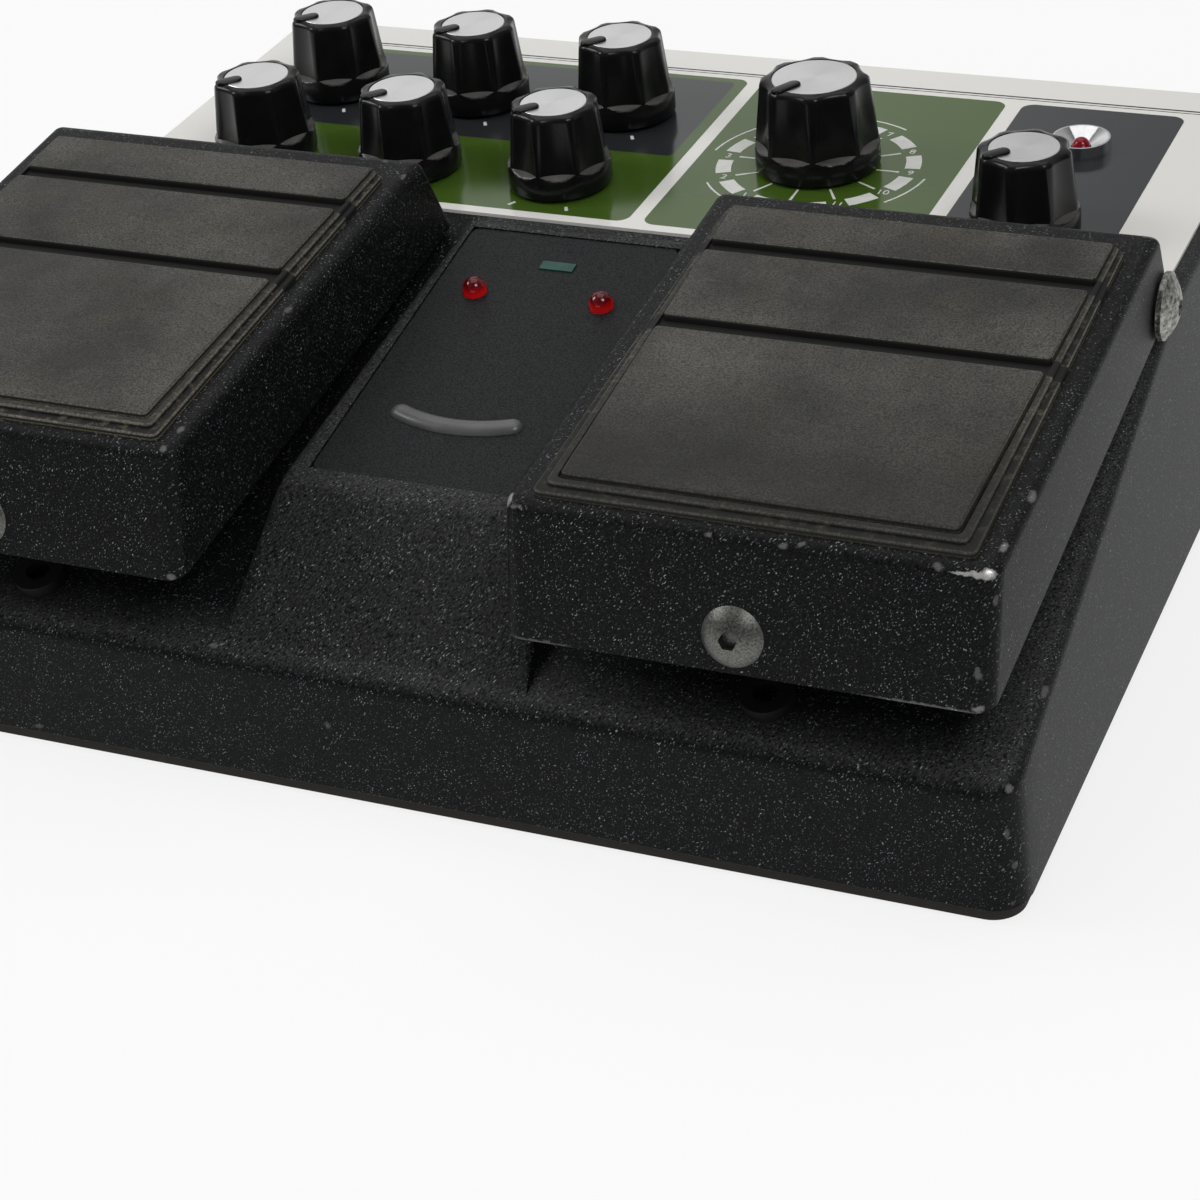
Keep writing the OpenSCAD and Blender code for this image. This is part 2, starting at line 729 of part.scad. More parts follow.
module panel_plate() {
    color("#e1deda") difference() {
        translate([0, 0, case_top])
            rounded_plate(-panel_half, panel_half, panel_front, panel_rear, panel_corner, panel_t);
        for (p = controls_at)
            translate([p[0], p[1], case_top - over])
                cylinder(h = panel_t + 2 * over, d = bushing_d + 2 * fit_clear);
        translate([peak_x, peak_y, case_top - over])
            cylinder(h = panel_t + 2 * over, r = bezel_stem_r + fit_clear);
    }
}

module console_plate() {
    color("#3c3d40") on_console() difference() {
        translate([0, 0, -label_recess])
            rounded_plate(-label_w / 2, label_w / 2, -label_back - label_l, -label_back,
                          label_corner, label_t);
        console_lamp_holes();
    }
}

// Half-round bar bent to an arc, bowed towards the front.
module crescent_bar() {
    r = (pow(crescent_span / 2, 2) + pow(crescent_bow, 2)) / (2 * crescent_bow);
    half = asin(crescent_span / 2 / r);
    color("#77787c") on_console()
        translate([0, -crescent_back - crescent_bow + r, label_t - label_recess])
            intersection() {
                union() {
                    rotate([0, 0, -90 - half]) rotate_extrude(angle = 2 * half) translate([r, 0])
                        crescent_section();
                    for (a = [-90 - half, -90 + half])
                        rotate([0, 0, a]) translate([r, 0, 0]) rotate_extrude() intersection() {
                            crescent_section();
                            square(crescent_w);
                        }
                }
                translate([-2 * r, -2 * r, 0]) cube([4 * r, 4 * r, crescent_h]);
            }
}

module crescent_section() {
    crown_r = (crescent_w * crescent_w / 4 + crescent_h * crescent_h) / (2 * crescent_h);
    intersection() {
        translate([-crescent_w / 2, 0]) square([crescent_w, crescent_h]);
        translate([0, crescent_h - crown_r]) circle(r = crown_r);
    }
}

module console_lamp(x) {
    on_console() translate([x, -lamp_back, 0]) {
        stand = lamp_stand + label_t - label_recess;
        translate([0, 0, -console_drop - lamp_flange_t])
            cylinder(h = lamp_flange_t, d = lamp_d + 2 * lamp_flange);
        translate([0, 0, -console_drop - eps]) cylinder(h = console_drop + stand + eps, d = lamp_d);
        translate([0, 0, stand]) intersection() {
            sphere(d = lamp_d);
            translate([0, 0, lamp_d / 2]) cube(lamp_d, center = true);
        }
    }
}

module effect_lamp() {
    color("#c0101c") console_lamp(-lamp_gap / 2);
}

module tap_lamp() {
    color("#c0101c") console_lamp(lamp_gap / 2);
}

module power_lamp() {
    color("#2f7d68") on_console() translate([0, -power_back, 0]) {
        translate([-power_w / 2, -power_d / 2, -console_drop])
            cube([power_w, power_d, console_drop + label_t - label_recess + power_proud]);
        translate([-power_w / 2 - lamp_flange, -power_d / 2 - lamp_flange, -console_drop - lamp_flange_t])
            cube([power_w + 2 * lamp_flange, power_d + 2 * lamp_flange, lamp_flange_t]);
    }
}

// Polished low ring with a bright dish, on a stem through the panel.
module peak_bezel() {
    lip = bezel_r - bezel_cone;
    well = bezel_stem_r - bezel_rim;
    color("#d8d8da") translate([peak_x, peak_y, panel_top]) rotate_extrude() polygon([
        [well, -case_wall - panel_t], [bezel_stem_r, -case_wall - panel_t], [bezel_stem_r, 0],
        [bezel_r, 0], [bezel_r, bezel_foot], [lip, bezel_h], [lip - bezel_rim, bezel_h], [well, lens_z]
    ]);
}

module peak_lamp() {
    stem_z = -case_wall - panel_t;
    color("#a01018") translate([peak_x, peak_y, panel_top]) {
        translate([0, 0, stem_z - eps]) cylinder(h = lens_z - stem_z + eps, r = lens_r);
        translate([0, 0, lens_z]) intersection() {
            sphere(r = lens_r);
            translate([0, 0, 2 * lens_r]) cube(4 * lens_r, center = true);
        }
        translate([0, 0, stem_z - lamp_flange_t]) cylinder(h = lamp_flange_t, r = bezel_stem_r);
    }
}

// Frame of a control: origin on its axis, +Y along its pointer at rest.
module on_control(at, zero) {
    translate([at[0], at[1], 0]) rotate([0, 0, -zero]) children();
}

// Fluted knob with a skirt, a hollow for the nut, a keyed bore and a raised pointer bar.
module knob(at, h, skirt_d, top_d, disc_d, zero) {
    grip_r = skirt_d / 2 - skirt_step;
    color("#101012") on_control(at, zero) translate([0, 0, knob_z]) difference() {
        rotate_extrude() polygon([
            [0, 0], [skirt_d / 2, 0], [skirt_d / 2, skirt_h - skirt_edge],
            [skirt_d / 2 - skirt_edge, skirt_h], [grip_r, skirt_h],
            [top_d / 2, h - knob_edge], [top_d / 2 - knob_edge, h], [0, h]
        ]);
        for (i = [0 : flutes - 1])
            rotate([0, 0, 360 * (i + 0.5) / flutes])
                translate([top_d / 2 - flute_depth + flute_r, 0, skirt_h + eps])
                    cylinder(h = h, r = flute_r);
        translate([0, 0, -over]) cylinder(h = knob_hollow_z - knob_z + over, r = nut_r + nut_clear);
        keyed_shaft(0, h - shaft_cover, key_clear);
        translate([0, 0, h - disc_t]) notched_disc(disc_d, disc_t + over, 0);
    }
}

// Disc with a notch for the pointer bar, which runs in from its edge; drawn in by clear.
module notched_disc(disc_d, t, clear) {
    difference() {
        cylinder(h = t, d = disc_d - 2 * clear);
        translate([-pointer_w / 2 - clear, disc_d / 2 - pointer_l - clear, -over])
            cube([pointer_w + 2 * clear, pointer_l + over, t + 2 * over]);
    }
}

module disc(at, h, disc_d, zero) {
    color("#d6d6d8") on_control(at, zero)
        translate([0, 0, knob_z + h - disc_t]) notched_disc(disc_d, disc_t, disc_clear);
}

// D-section bar from z0 to z1, grown by grow.
module keyed_shaft(z0, z1, grow) {
    r = shaft_d / 2 + grow;
    intersection() {
        translate([0, 0, z0]) cylinder(h = z1 - z0, r = r);
        translate([-2 * r, -2 * r, z0]) cube([4 * r, 3 * r - shaft_flat + grow, z1 - z0]);
    }
}

module shaft(at, h, zero) {
    color("#b9babd") on_control(at, zero) {
        translate([0, 0, shaft_low]) cylinder(h = knob_hollow_z - shaft_low, d = shaft_d);
        keyed_shaft(knob_hollow_z - eps, knob_z + h - shaft_cover, 0);
    }
}

module small_knob(at) {
    knob(at, knob_h, knob_skirt_d, knob_top_d, knob_disc_d, pot_zero);
}

module small_disc(at) {
    disc(at, knob_h, knob_disc_d, pot_zero);
}

module small_shaft(at) {
    shaft(at, knob_h, pot_zero);
}

// Body under the roof with a threaded bushing and a bore for the shaft.
module control_body(at, w, d) {
    translate([at[0], at[1], 0]) difference() {
        union() {
            translate([-w / 2, -d / 2, pot_z]) cube([w, d, pot_h]);
            translate([0, 0, roof_z - eps]) cylinder(h = bushing_top - roof_z + eps, d = bushing_d);
        }
        translate([0, 0, shaft_low - shaft_end_gap]) cylinder(h = case_top, d = shaft_d + 2 * run_clear);
    }
}

module potentiometers() {
    color("#8d9296") for (p = pots_at) control_body(p, pot_w, pot_d);
}

module selector_switch() {
    color("#8d9296") control_body(selector_at, selector_body_w, selector_body_w);
}

module panel_nuts() {
    color("#c4c6c9") for (p = controls_at)
        translate([p[0], p[1], panel_top]) difference() {
            cylinder(h = nut_t, r = nut_r, $fn = 6);
            translate([0, 0, -over]) cylinder(h = nut_t + 2 * over, d = bushing_d + fit_clear);
        }
}

module control_board() {
    color("#2c5a3c") translate([-control_board_w / 2, control_board_y, control_board_z])
        cube([control_board_w, control_board_l, board_t]);
}

// Side outline of a pedal, drawn in by wall on the front, top and rear, and open below.
module pedal_outline(wall) {
    down = wall > 0 ? 2 * wall : 0;
    front = wall / cos(front_lean);
    rear_lean = atan((heel_y - tread_rear_y) / (tread_z(tread_rear_y) - skirt_z(heel_y)));
    rear = wall / cos(rear_lean);
    top = wall / cos(pedal_slope);
    polygon([
        [lip_y + front - down * tan(front_lean), lip_z - down],
        [tread_front_y + front - top * tan(front_lean), tread_z(tread_front_y + front) - top],
        [tread_rear_y - rear + top * tan(rear_lean), tread_z(tread_rear_y - rear) - top],
        [heel_y - rear + down * tan(rear_lean), skirt_z(heel_y) - down]
    ]);
}

module pedal() {
    roof = pedal_wall / 2;
    difference() {
        union() {
            difference() {
                side_extrude(pedal_in, pedal_out) pedal_outline(0);
                side_extrude(pedal_in + pedal_wall, pedal_out - pedal_wall) pedal_outline(pedal_wall);
            }
            hinge_cylinder(pedal_in + pedal_wall - eps, hinge_inner_face, hinge_boss_d);
            translate([pedal_mid, spring_y, spring_top_z])
                cylinder(h = tread_z(spring_y) - roof - spring_top_z, r = spring_r + spring_wire);
            translate([pedal_mid, spring_y, switch_post_z])
                cylinder(h = spring_top_z - switch_post_z + eps, d = switch_post_d);
            translate([stop_x, bump_y, stop_post_z])
                cylinder(h = tread_z(bump_y) - roof - stop_post_z, d = stop_post_d);
        }
        hinge_room(hinge_boss_out - hinge_boss_l - 2 * move_clear, pedal_out - pedal_wall);
        hinge_room(hinge_inner_face, hinge_inner_boss + hinge_boss_l + move_clear);
        hinge_cylinder(pedal_out - pedal_wall - over, pedal_out + over, bush_d + 2 * run_clear);
        hinge_cylinder(hinge_inner_face - hinge_pin_in - move_clear, hinge_inner_face + over,
                       hinge_d + 2 * run_clear);
        on_stop_screw() translate([0, 0, -2 * pedal_wall]) cylinder(h = 3 * pedal_wall, d = stop_d);
    }
}

// Room in a pedal for a hinge boss and its post, from x0 to x1.
module hinge_room(x0, x1) {
    room = hinge_boss_d / 2 + move_clear;
    hinge_cylinder(x0, x1, 2 * room);
    translate([x0, hinge_y - room, lip_z]) cube([x1 - x0, 2 * room, hinge_z - lip_z]);
}

// Frame at the stop screw: +Z points out of the pedal's front wall.
module on_stop_screw() {
    translate([stop_x, stop_y, stop_z]) rotate([90 - front_lean, 0, 0]) children();
}

module right_pedal() {
    color("#202224") pedal();
}

module left_pedal() {
    color("#202224") mirror([1, 0, 0]) pedal();
}

// Rubber tread: a flat border with three raised sections between cross grooves.
module tread() {
    x0 = pad_in + pad_border;
    x1 = pad_out - pad_border;
    y_front = pad_front + pad_border;
    y_mid = y_front + pad_front_l + pad_groove;
    y_back = y_mid + pad_mid_l + pad_groove;
    on_tread() {
        rounded_plate(pad_in, pad_out, pad_front, pad_front + pad_l, pad_corner, pad_t);
        for (s = [[y_front, pad_front_l], [y_mid, pad_mid_l], [y_back, pad_front + pad_l - y_back]])
            translate([x0, s[0], pad_t - eps]) cube([x1 - x0, s[1], pad_raise + eps]);
    }
}

module right_tread() {
    color("#3b3732") tread();
}

module left_tread() {
    color("#3b3732") mirror([1, 0, 0]) tread();
}

// Button head with a hex socket, along +Z.
module button_head(d, h) {
    crown_r = (d * d / 4 + h * h) / (2 * h);
    difference() {
        rotate_extrude() intersection() {
            square([d / 2, h]);
            translate([0, h - crown_r]) circle(r = crown_r);
        }
        translate([0, 0, h - hex_depth]) cylinder(h = hex_depth + over, d = hex_d, $fn = 6);
    }
}

module stop_screw() {
    on_stop_screw() {
        button_head(stop_head_d, stop_head_h);
        translate([0, 0, -stop_l]) cylinder(h = stop_l + eps, d = stop_d);
    }
}

module right_stop_screw() {
    color("#8f8f88") stop_screw();
}

module left_stop_screw() {
    color("#8f8f88") mirror([1, 0, 0]) stop_screw();
}

module hinge_screws() {
    color("#8f8f88") both_sides() {
        translate([hinge_head_x, hinge_y, hinge_z]) rotate([0, 90, 0]) {
            cylinder(h = hinge_flange_t, d = hinge_head_d);
            translate([0, 0, hinge_flange_t - eps])
                button_head(hinge_head_d - 2 * hinge_flange_ledge, hinge_head_h - hinge_flange_t);
        }
        hinge_cylinder(hinge_boss_out - hinge_boss_l, hinge_head_x + eps, hinge_d);
    }
}

module hinge_bushes() {
    color("#d9d4c4") both_sides() difference() {
        hinge_cylinder(hinge_boss_out, hinge_head_x, bush_d);
        hinge_cylinder(hinge_boss_out - over, hinge_head_x + over, hinge_d);
    }
}

module hinge_pins() {
    color("#a9abae") both_sides()
        hinge_cylinder(hinge_inner_face - hinge_pin_in, hinge_inner_boss + hinge_boss_l, hinge_d);
}

function spring_point(t) = [
    spring_r * cos(360 * t), spring_r * sin(360 * t),
    spring_seat_z + spring_wire / 2 + spring_clear
        + t / spring_turns * (spring_top_z - spring_seat_z - spring_wire - 2 * spring_clear)
];

// Helical return spring: one tube of six sides, eight rings to a turn.
module spring() {
    sides = 6;
    turn_rings = 8;
    rings = turn_rings * spring_turns + 1;
    points = [for (i = [0 : rings - 1], k = [0 : sides - 1])
        let (t = i / turn_rings, p = spring_point(t), a = 360 * k / sides, out = spring_wire / 2 * cos(a))
            p + [out * cos(360 * t), out * sin(360 * t), spring_wire / 2 * sin(a)]];
    walls = [for (i = [0 : rings - 2], k = [0 : sides - 1])
        let (a = i * sides + k, b = i * sides + (k + 1) % sides)
            each [[a, a + sides, b], [b, a + sides, b + sides]]];
    caps = [for (k = [1 : sides - 2]) each [
        [0, k, k + 1],
        [(rings - 1) * sides, (rings - 1) * sides + k + 1, (rings - 1) * sides + k]
    ]];
    translate([pedal_mid, spring_y, 0]) polyhedron(points, concat(walls, caps), convexity = 10);
}

echo(spring_gap = (spring_point(1) - spring_point(0))[2] - spring_wire);

module right_spring() {
    color("#9fa2a5") spring();
}

module left_spring() {
    color("#9fa2a5") mirror([1, 0, 0]) spring();
}

module plunger() {
    translate([pedal_mid, spring_y, plunger_low]) cylinder(h = plunger_z - plunger_low, d = plunger_d);
}

module right_plunger() {
    color("#e6e2d6") plunger();
}

module left_plunger() {
    color("#e6e2d6") mirror([1, 0, 0]) plunger();
}

module foot_switches() {
    low = plunger_low - guide_drop - move_clear;
    color("#2b2c2e") both_sides() translate([pedal_mid, spring_y, 0]) difference() {
        translate([-switch_w / 2, -switch_w / 2, switch_seat_z - switch_h])
            cube([switch_w, switch_w, switch_h]);
        translate([0, 0, low]) cylinder(h = switch_h, d = plunger_d + 2 * run_clear);
    }
}

module bump_stops() {
    color("#161616") both_sides()
        translate([stop_x, bump_y, deck_z(bump_y)]) rotate([deck_slope, 0, 0]) difference() {
            cylinder(h = bump_h, d = bump_d);
            translate([0, 0, -over]) cylinder(h = bump_h + 2 * over, d = bump_hole_d);
        }
}

module main_board() {
    color("#2c5a3c") translate([-main_board_w / 2, main_board_front, main_board_z])
        cube([main_board_w, main_board_rear - main_board_front, board_t]);
}

// Socket body on the board, with its threaded nose through the rear wall and a blind bore.
module audio_socket(x) {
    body_l = plug_l + socket_floor - case_wall - socket_nose;
    translate([x, 0, socket_z]) difference() {
        union() {
            translate([-socket_w / 2, rear_in - body_l, -socket_h / 2]) cube([socket_w, body_l, socket_h]);
            translate([0, rear_in - eps, 0]) rotate([-90, 0, 0])
                cylinder(h = case_wall + socket_nose + eps, d = socket_thread_d);
        }
        translate([0, case_rear + socket_nose - plug_l, 0]) rotate([-90, 0, 0])
            cylinder(h = plug_l + over, d = plug_d);
    }
}

module audio_sockets() {
    color("#191919") for (x = sockets_x) audio_socket(x);
}

module socket_nuts() {
    color("#c4c6c9") for (x = sockets_x)
        translate([x, case_rear, socket_z]) rotate([-90, 0, 0]) difference() {
            cylinder(h = socket_nut_t, r = socket_nut_r, $fn = 6);
            translate([0, 0, -over]) cylinder(h = socket_nut_t + 2 * over, d = socket_thread_d + fit_clear);
        }
}

module power_inlet() {
    color("#191919") translate([power_x, 0, socket_z]) {
        difference() {
            union() {
                translate([-inlet_w / 2, rear_in - inlet_l, -socket_h / 2])
                    cube([inlet_w, inlet_l, socket_h]);
                translate([0, rear_in - eps, 0]) rotate([-90, 0, 0])
                    cylinder(h = case_wall + inlet_proud + eps, d = inlet_collar_d);
            }
            translate([0, case_rear + inlet_proud - power_l, 0]) rotate([-90, 0, 0])
                cylinder(h = power_l + over, d = power_bore_d);
        }
        translate([0, case_rear + inlet_proud - power_l - eps, 0]) rotate([-90, 0, 0])
            cylinder(h = power_l - inlet_pin_recess, d = power_pin_d);
    }
}

// Flat ribbon between the boards, and a flat lead from each foot switch to the main board.
module inner_leads() {
    low = main_board_z + board_t;
    switch_low = switch_seat_z - switch_h;
    lead_y = spring_y - lead_t;
    lap_y = main_board_front + lead_lap;
    color("#b8b2a4") {
        translate([-ribbon_w / 2, main_board_front + ribbon_back, low])
            cube([ribbon_w, lead_t, control_board_z - low]);
        both_sides() side_extrude(pedal_mid - lead_w / 2, pedal_mid + lead_w / 2) polygon([
            [lead_y, switch_low], [spring_y, switch_low], [spring_y, low + lead_t],
            [lap_y, low + lead_t], [lap_y, low], [lead_y, low]
        ]);
    }
}

module base_plate() {
    edge = case_wall + base_gap;
    color("#55585b") {
        difference() {
            translate([0, 0, foot_z])
                rounded_plate(-half_w + edge, half_w - edge, front_y + edge, case_rear - edge,
                              base_corner, base_t);
            for (p = bosses_at)
                translate([p[0], p[1], 0])
                    cylinder(h = base_top + over, d = base_screw_d + 2 * base_hole_clear);
        }
        for (p = posts_at)
            translate([p[0], p[1], base_top - eps])
                cylinder(h = main_board_z - base_top + eps, d = board_post_d);
    }
}

module base_screws() {
    color("#8a8c8f") for (p = bosses_at) translate([p[0], p[1], 0]) {
        translate([0, 0, base_head_recess]) cylinder(h = foot_z - base_head_recess, d = base_head_d);
        translate([0, 0, foot_z - eps])
            cylinder(h = base_t + base_screw_l - base_screw_room + eps, d = base_screw_d);
    }
}

module base_sheet() {
    color("#2a2420") difference() {
        rounded_plate(-half_w + sheet_inset, half_w - sheet_inset, front_y + sheet_inset,
                      case_rear - sheet_inset, case_corner - sheet_inset, sheet_t);
        for (p = bosses_at)
            translate([p[0], p[1], -over])
                cylinder(h = sheet_t + 2 * over, d = base_head_d + 2 * base_head_clear);
    }
}

top_case();
panel_plate();
console_plate();
crescent_bar();
effect_lamp();
tap_lamp();
power_lamp();
peak_lamp();
peak_bezel();
small_knob(bass_at);  // bass_knob
small_knob(treble_at);  // treble_knob
small_knob(reverb_at);  // reverb_knob
small_knob(rate_at);  // rate_knob
small_knob(intensity_at);  // intensity_knob
small_knob(echo_at);  // echo_knob
small_knob(input_at);  // input_knob
knob(selector_at, selector_h, selector_skirt_d, selector_top_d, selector_disc_d, selector_zero);  // selector_knob
small_disc(bass_at);  // bass_disc
small_disc(treble_at);  // treble_disc
small_disc(reverb_at);  // reverb_disc
small_disc(rate_at);  // rate_disc
small_disc(intensity_at);  // intensity_disc
small_disc(echo_at);  // echo_disc
small_disc(input_at);  // input_disc
disc(selector_at, selector_h, selector_disc_d, selector_zero);  // selector_disc
small_shaft(bass_at);  // bass_shaft
small_shaft(treble_at);  // treble_shaft
small_shaft(reverb_at);  // reverb_shaft
small_shaft(rate_at);  // rate_shaft
small_shaft(intensity_at);  // intensity_shaft
small_shaft(echo_at);  // echo_shaft
small_shaft(input_at);  // input_shaft
shaft(selector_at, selector_h, selector_zero);  // selector_shaft
potentiometers();
selector_switch();
panel_nuts();
control_board();
left_pedal();
right_pedal();
left_tread();
right_tread();
left_stop_screw();
right_stop_screw();
hinge_screws();
hinge_bushes();
hinge_pins();
left_spring();
right_spring();
left_plunger();
right_plunger();
foot_switches();
bump_stops();
main_board();
audio_sockets();
socket_nuts();
power_inlet();
inner_leads();
base_plate();
base_screws();
base_sheet();
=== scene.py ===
import math

import bmesh
import bpy
import numpy as np
from mathutils import Matrix, Vector


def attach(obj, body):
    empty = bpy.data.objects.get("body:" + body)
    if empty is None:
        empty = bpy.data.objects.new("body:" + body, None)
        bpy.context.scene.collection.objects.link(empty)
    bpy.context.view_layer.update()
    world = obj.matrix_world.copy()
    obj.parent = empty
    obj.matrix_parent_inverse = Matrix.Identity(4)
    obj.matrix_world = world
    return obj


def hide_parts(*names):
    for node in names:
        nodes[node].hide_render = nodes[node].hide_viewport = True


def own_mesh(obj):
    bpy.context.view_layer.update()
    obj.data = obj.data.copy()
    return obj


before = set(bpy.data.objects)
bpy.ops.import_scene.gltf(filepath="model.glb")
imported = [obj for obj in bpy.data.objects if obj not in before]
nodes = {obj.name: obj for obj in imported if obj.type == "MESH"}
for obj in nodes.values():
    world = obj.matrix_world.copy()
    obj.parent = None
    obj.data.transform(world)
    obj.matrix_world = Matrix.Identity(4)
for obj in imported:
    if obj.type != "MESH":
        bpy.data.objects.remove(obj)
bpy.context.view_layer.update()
mm = 0.001

# Studio: a white table before a white backdrop, lit by a soft box on each side and a broad one above.
# The lens stands under half a metre away, looks down over the right pedal and leans a little to the right.
scene = bpy.context.scene
scene.view_settings.view_transform = "Standard"
eye = Vector((164.37, -342.51, 227.98)) * mm
yaw, pitch, roll = (math.radians(angle) for angle in (25.8947, 32.6434, -5.7198))
lens = 88.696
table_size = 6.0
table_bounce = 0.55
table_white = 0.2
table_glow = 0.76
room_light = 0.4
room_fill = 0.85
room_white = 0.93
room_front = 0.2
room_right = 0.5
room_middle, room_end, right_start, right_end = 0.2, 0.6, -0.2, -0.32


def fill(tree, socket, value):
    """Sets a socket to a value, or links another one to it."""
    if isinstance(value, bpy.types.NodeSocket):
        tree.links.new(value, socket)
    else:
        socket.default_value = value


def add(tree, kind, sockets=None, **settings):
    """Adds a node with these settings, and fills its sockets with values or links."""
    node = tree.nodes.new(kind)
    for name, value in settings.items():
        setattr(node, name, value)
    for name, value in (sockets or {}).items():
        fill(tree, node.inputs[name], value)
    return node


def calc(tree, operation, *values):
    """The output of a Math node on these values or links."""
    return add(tree, "ShaderNodeMath", dict(enumerate(values)), operation=operation).outputs[0]


def ranged(tree, value, low, high, least=0.0, most=1.0):
    """A value mapped from the range low to high onto the range least to most, and held inside it."""
    return add(tree, "ShaderNodeMapRange", {
        "Value": value, "From Min": low, "From Max": high, "To Min": least, "To Max": most}).outputs[0]


def split(tree, spot):
    """The three axes of a place or a direction."""
    return add(tree, "ShaderNodeSeparateXYZ", {0: spot}).outputs


def seen_by_lens(tree):
    """One for rays from the lens, or seen in gloss or through glass, else zero."""
    path = add(tree, "ShaderNodeLightPath")
    gloss = calc(tree, "MAXIMUM", path.outputs["Is Glossy Ray"], path.outputs["Is Transmission Ray"])
    return calc(tree, "MAXIMUM", path.outputs["Is Camera Ray"], gloss)


def link_object(name, mesh):
    """A new object for a mesh or other data, in the scene."""
    piece = bpy.data.objects.new(name, mesh)
    scene.collection.objects.link(piece)
    return piece


world = bpy.data.worlds.new("white_room")
world.use_nodes = True
scene.world = world
tree = world.node_tree
tree.nodes.clear()
heading = split(tree, add(tree, "ShaderNodeTexCoord").outputs["Generated"])
dim_level = ranged(tree, heading["Y"], room_middle, -room_end, room_light, room_fill)
dim = add(tree, "ShaderNodeBackground", {"Strength": dim_level})
backdrop = ranged(tree, heading["Y"], room_middle, room_end, room_front, room_white)
right_dim = ranged(tree, heading["X"], right_start, right_end, room_right, 1.0)
direct = calc(tree, "MULTIPLY", add(tree, "ShaderNodeLightPath").outputs["Is Camera Ray"], room_white)
seen = calc(tree, "MULTIPLY", backdrop, right_dim)
bright = add(tree, "ShaderNodeBackground", {"Strength": calc(tree, "MAXIMUM", direct, seen)})
room = add(tree, "ShaderNodeMixShader", {0: seen_by_lens(tree), 1: dim.outputs[0], 2: bright.outputs[0]})
add(tree, "ShaderNodeOutputWorld", {"Surface": room.outputs[0]})

table_paper = bpy.data.materials.new("table_paper")
table_paper.use_nodes = True
tree = table_paper.node_tree
tree.nodes.clear()
bounce = add(tree, "ShaderNodeBsdfDiffuse", {"Color": (table_bounce, table_bounce, table_bounce, 1)})
paper = add(tree, "ShaderNodeBsdfDiffuse", {"Color": (table_white, table_white, table_white, 1)})
glow = add(tree, "ShaderNodeEmission", {"Strength": table_glow})
lit = add(tree, "ShaderNodeAddShader", {0: paper.outputs[0], 1: glow.outputs[0]})
top = add(tree, "ShaderNodeMixShader", {0: seen_by_lens(tree), 1: bounce.outputs[0], 2: lit.outputs[0]})
add(tree, "ShaderNodeOutputMaterial", {"Surface": top.outputs[0]})

half_table = table_size / 2
table_mesh = bpy.data.meshes.new("table")
table_mesh.from_pydata(
    [(-half_table, -half_table, 0), (half_table, -half_table, 0),
     (half_table, half_table, 0), (-half_table, half_table, 0)], [], [(0, 1, 2, 3)])
table_mesh.materials.append(table_paper)
table = link_object("table", table_mesh)


def soft_box(name, place, aim, size, watts):
    """A square area lamp that looks at a point."""
    lamp = bpy.data.lights.new(name, "AREA")
    lamp.size = size
    lamp.energy = watts
    holder = link_object(name, lamp)
    holder.location = place
    holder.rotation_euler = (Vector(aim) - Vector(place)).to_track_quat("-Z", "Y").to_euler()


soft_box("overhead_box", (-0.1, 0.3, 1.3), (0, 0, 0), 1.1, 4.0)
soft_box("left_box", (-0.92, -0.16, 0.75), (0, 0, 0.03), 0.45, 4.0)
soft_box("right_box", (0.61, -0.41, 0.95), (0, 0, 0.03), 0.45, 4.0)

camera = bpy.data.cameras.new("lens")
camera.sensor_width = 36
camera.lens = lens
camera.clip_start = 0.01
view = link_object("lens", camera)
ahead = Vector((-math.sin(yaw) * math.cos(pitch), math.cos(yaw) * math.cos(pitch), -math.sin(pitch)))
across = Vector((math.cos(yaw), math.sin(yaw), 0))
upward = across.cross(ahead)
right = math.cos(roll) * across + math.sin(roll) * upward
up = math.cos(roll) * upward - math.sin(roll) * across
view.matrix_world = Matrix.Translation(eye) @ Matrix((right, up, -ahead)).transposed().to_4x4()
scene.camera = view

# Top case: an aluminium die casting with a sloped deck, a console ridge and a level platform, its
# walls drafted and its shoulders rounded. It is powder coated black, with fine sparkle in the coat.
case_half, case_front, case_rear = 86.5, -76.2, 75.5
case_foot, case_top, case_wall, case_corner = 1.5, 42.2, 2.5, 5.0
draft = math.tan(math.radians(3.6))
deck_front_z = 19.1
deck_slope = math.tan(math.radians(15.27))
deck_front_y = case_front + draft * (deck_front_z - case_foot)
platform_y = deck_front_y + (case_top - deck_front_z) / deck_slope
shoulder = 2.4
console_slope = math.tan(math.radians(9.65))
console_rear, console_rear_z, console_length, console_foot = 2.4, 46.0, 58.9, -72.8
console_half, console_flare = 17.5, 0.1697
console_edge, console_fillet, nose_fillet = 1.6, 1.2, 4.5
nose_rear, nose_length = -44.0, 12.0
label_half, label_recess, label_front, label_rear, label_t = 16.0, 0.6, -54.0, 0.03, 0.4
console_drop, foot_round, front_round, rear_round = 0.8, 4, 6, 1.4
foot_break, recess_edge, least_bend = 0.5, 0.05, 0.1
edge_share, fillet_share = 0.45, 0.4
deck_columns, deck_rows = (32, 44, 56, 68), range(-64, 72, 8)


def deck_z(y):
    """Height of the deck or the platform at y."""
    return min(deck_front_z + (y - deck_front_y) * deck_slope, case_top)


